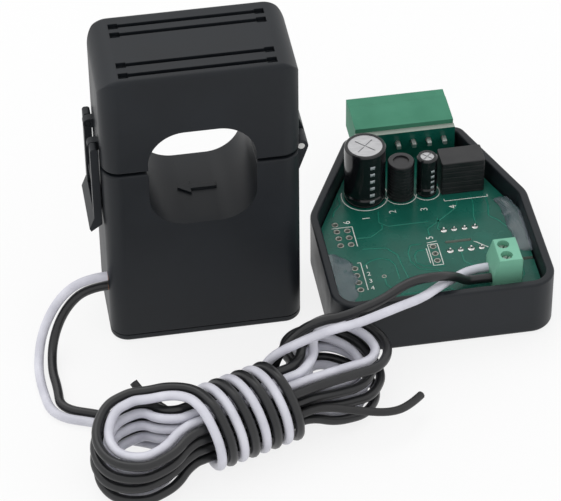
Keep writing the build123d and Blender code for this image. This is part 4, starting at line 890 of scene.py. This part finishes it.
finishes["sleeve_print"] = finish(
    "sleeve_print", (0.30, 0.34, 0.36), (0.48, 0.52, 0.54), (0.2, 0.3),
    patch=900, grain=900, depth=0.02)
dashes("large_can_marks", "large_capacitor_sleeve",
       [(-86, -72, 11.2 + 2.1 * step, 12.1 + 2.1 * step) for step in range(6)])
dashes("small_can_marks", "small_capacitor_sleeve",
       [(-78, -56, 11.0 + 1.6 * step, 11.7 + 1.6 * step) for step in range(5)])

# %% [markdown]
# ## Floor and light
#
# The photograph is a cut-out on pure white with even, soft light that comes mostly from
# above and behind. A white world lights everything at a plain level, one wide lamp adds
# direction, and the floor and the world answer camera rays with plain white, so only a
# faint shadow tells that the meter stands on something.
# %% The floor
FLOOR_REACH = 3
FLOOR_Z = -0.0001
# The share of plain white that a seen ray gets from the floor
FLOOR_GLOW = 0.82


def seen_rays(tree):
    """1 for a ray that the eye follows: straight, by way of a gloss, or through the glue."""
    rays = node(tree, "ShaderNodeLightPath").outputs
    seen = maths(tree, "MAXIMUM", rays["Is Camera Ray"], rays["Is Glossy Ray"])
    return maths(tree, "MAXIMUM", seen, rays["Is Transmission Ray"])


floor_mesh = bpy.data.meshes.new("floor")
floor_mesh.from_pydata([(x * FLOOR_REACH, y * FLOOR_REACH, FLOOR_Z)
                        for x, y in ((-1, -1), (1, -1), (1, 1), (-1, 1))], [], [(0, 1, 2, 3)])
floor = put("floor", floor_mesh)
paper = bpy.data.materials.new("white_paper")
paper.use_nodes = True
tree = paper.node_tree
surface = tree.nodes["Principled BSDF"]
surface.inputs["Base Color"].default_value = (0.86, 0.86, 0.86, 1)
surface.inputs["Roughness"].default_value = 0.9
seen = seen_rays(tree)
glow = node(tree, "ShaderNodeEmission", {"Color": (1, 1, 1, 1), "Strength": 1.0}).outputs[0]
mixed = node(tree, "ShaderNodeMixShader", {
    0: maths(tree, "MULTIPLY", seen, FLOOR_GLOW),
    1: surface.outputs[0], 2: glow}).outputs[0]
tree.links.new(mixed, tree.nodes["Material Output"].inputs["Surface"])
floor_mesh.materials.append(paper)

# %% The world and the lamp
WORLD_LIGHT = 0.98
world = bpy.data.worlds.new("white_room")
bpy.context.scene.world = world
world.use_nodes = True
tree = world.node_tree
strength = spread(tree, seen_rays(tree), WORLD_LIGHT, 1.0, 0.0, 1.0)
background = tree.nodes["Background"]
background.inputs["Color"].default_value = (1, 1, 1, 1)
tree.links.new(strength, background.inputs["Strength"])

lamp_data = bpy.data.lights.new("wide_lamp", "AREA")
lamp_data.shape = "DISK"
lamp_data.size = 0.9
lamp_data.energy = 2.2
lamp = put("wide_lamp", lamp_data)
lamp.location = (-0.25, 0.45, 0.95)
lamp.rotation_euler = (-lamp.location).to_track_quat("-Z", "Y").to_euler()
bpy.context.scene.view_settings.view_transform = "Standard"
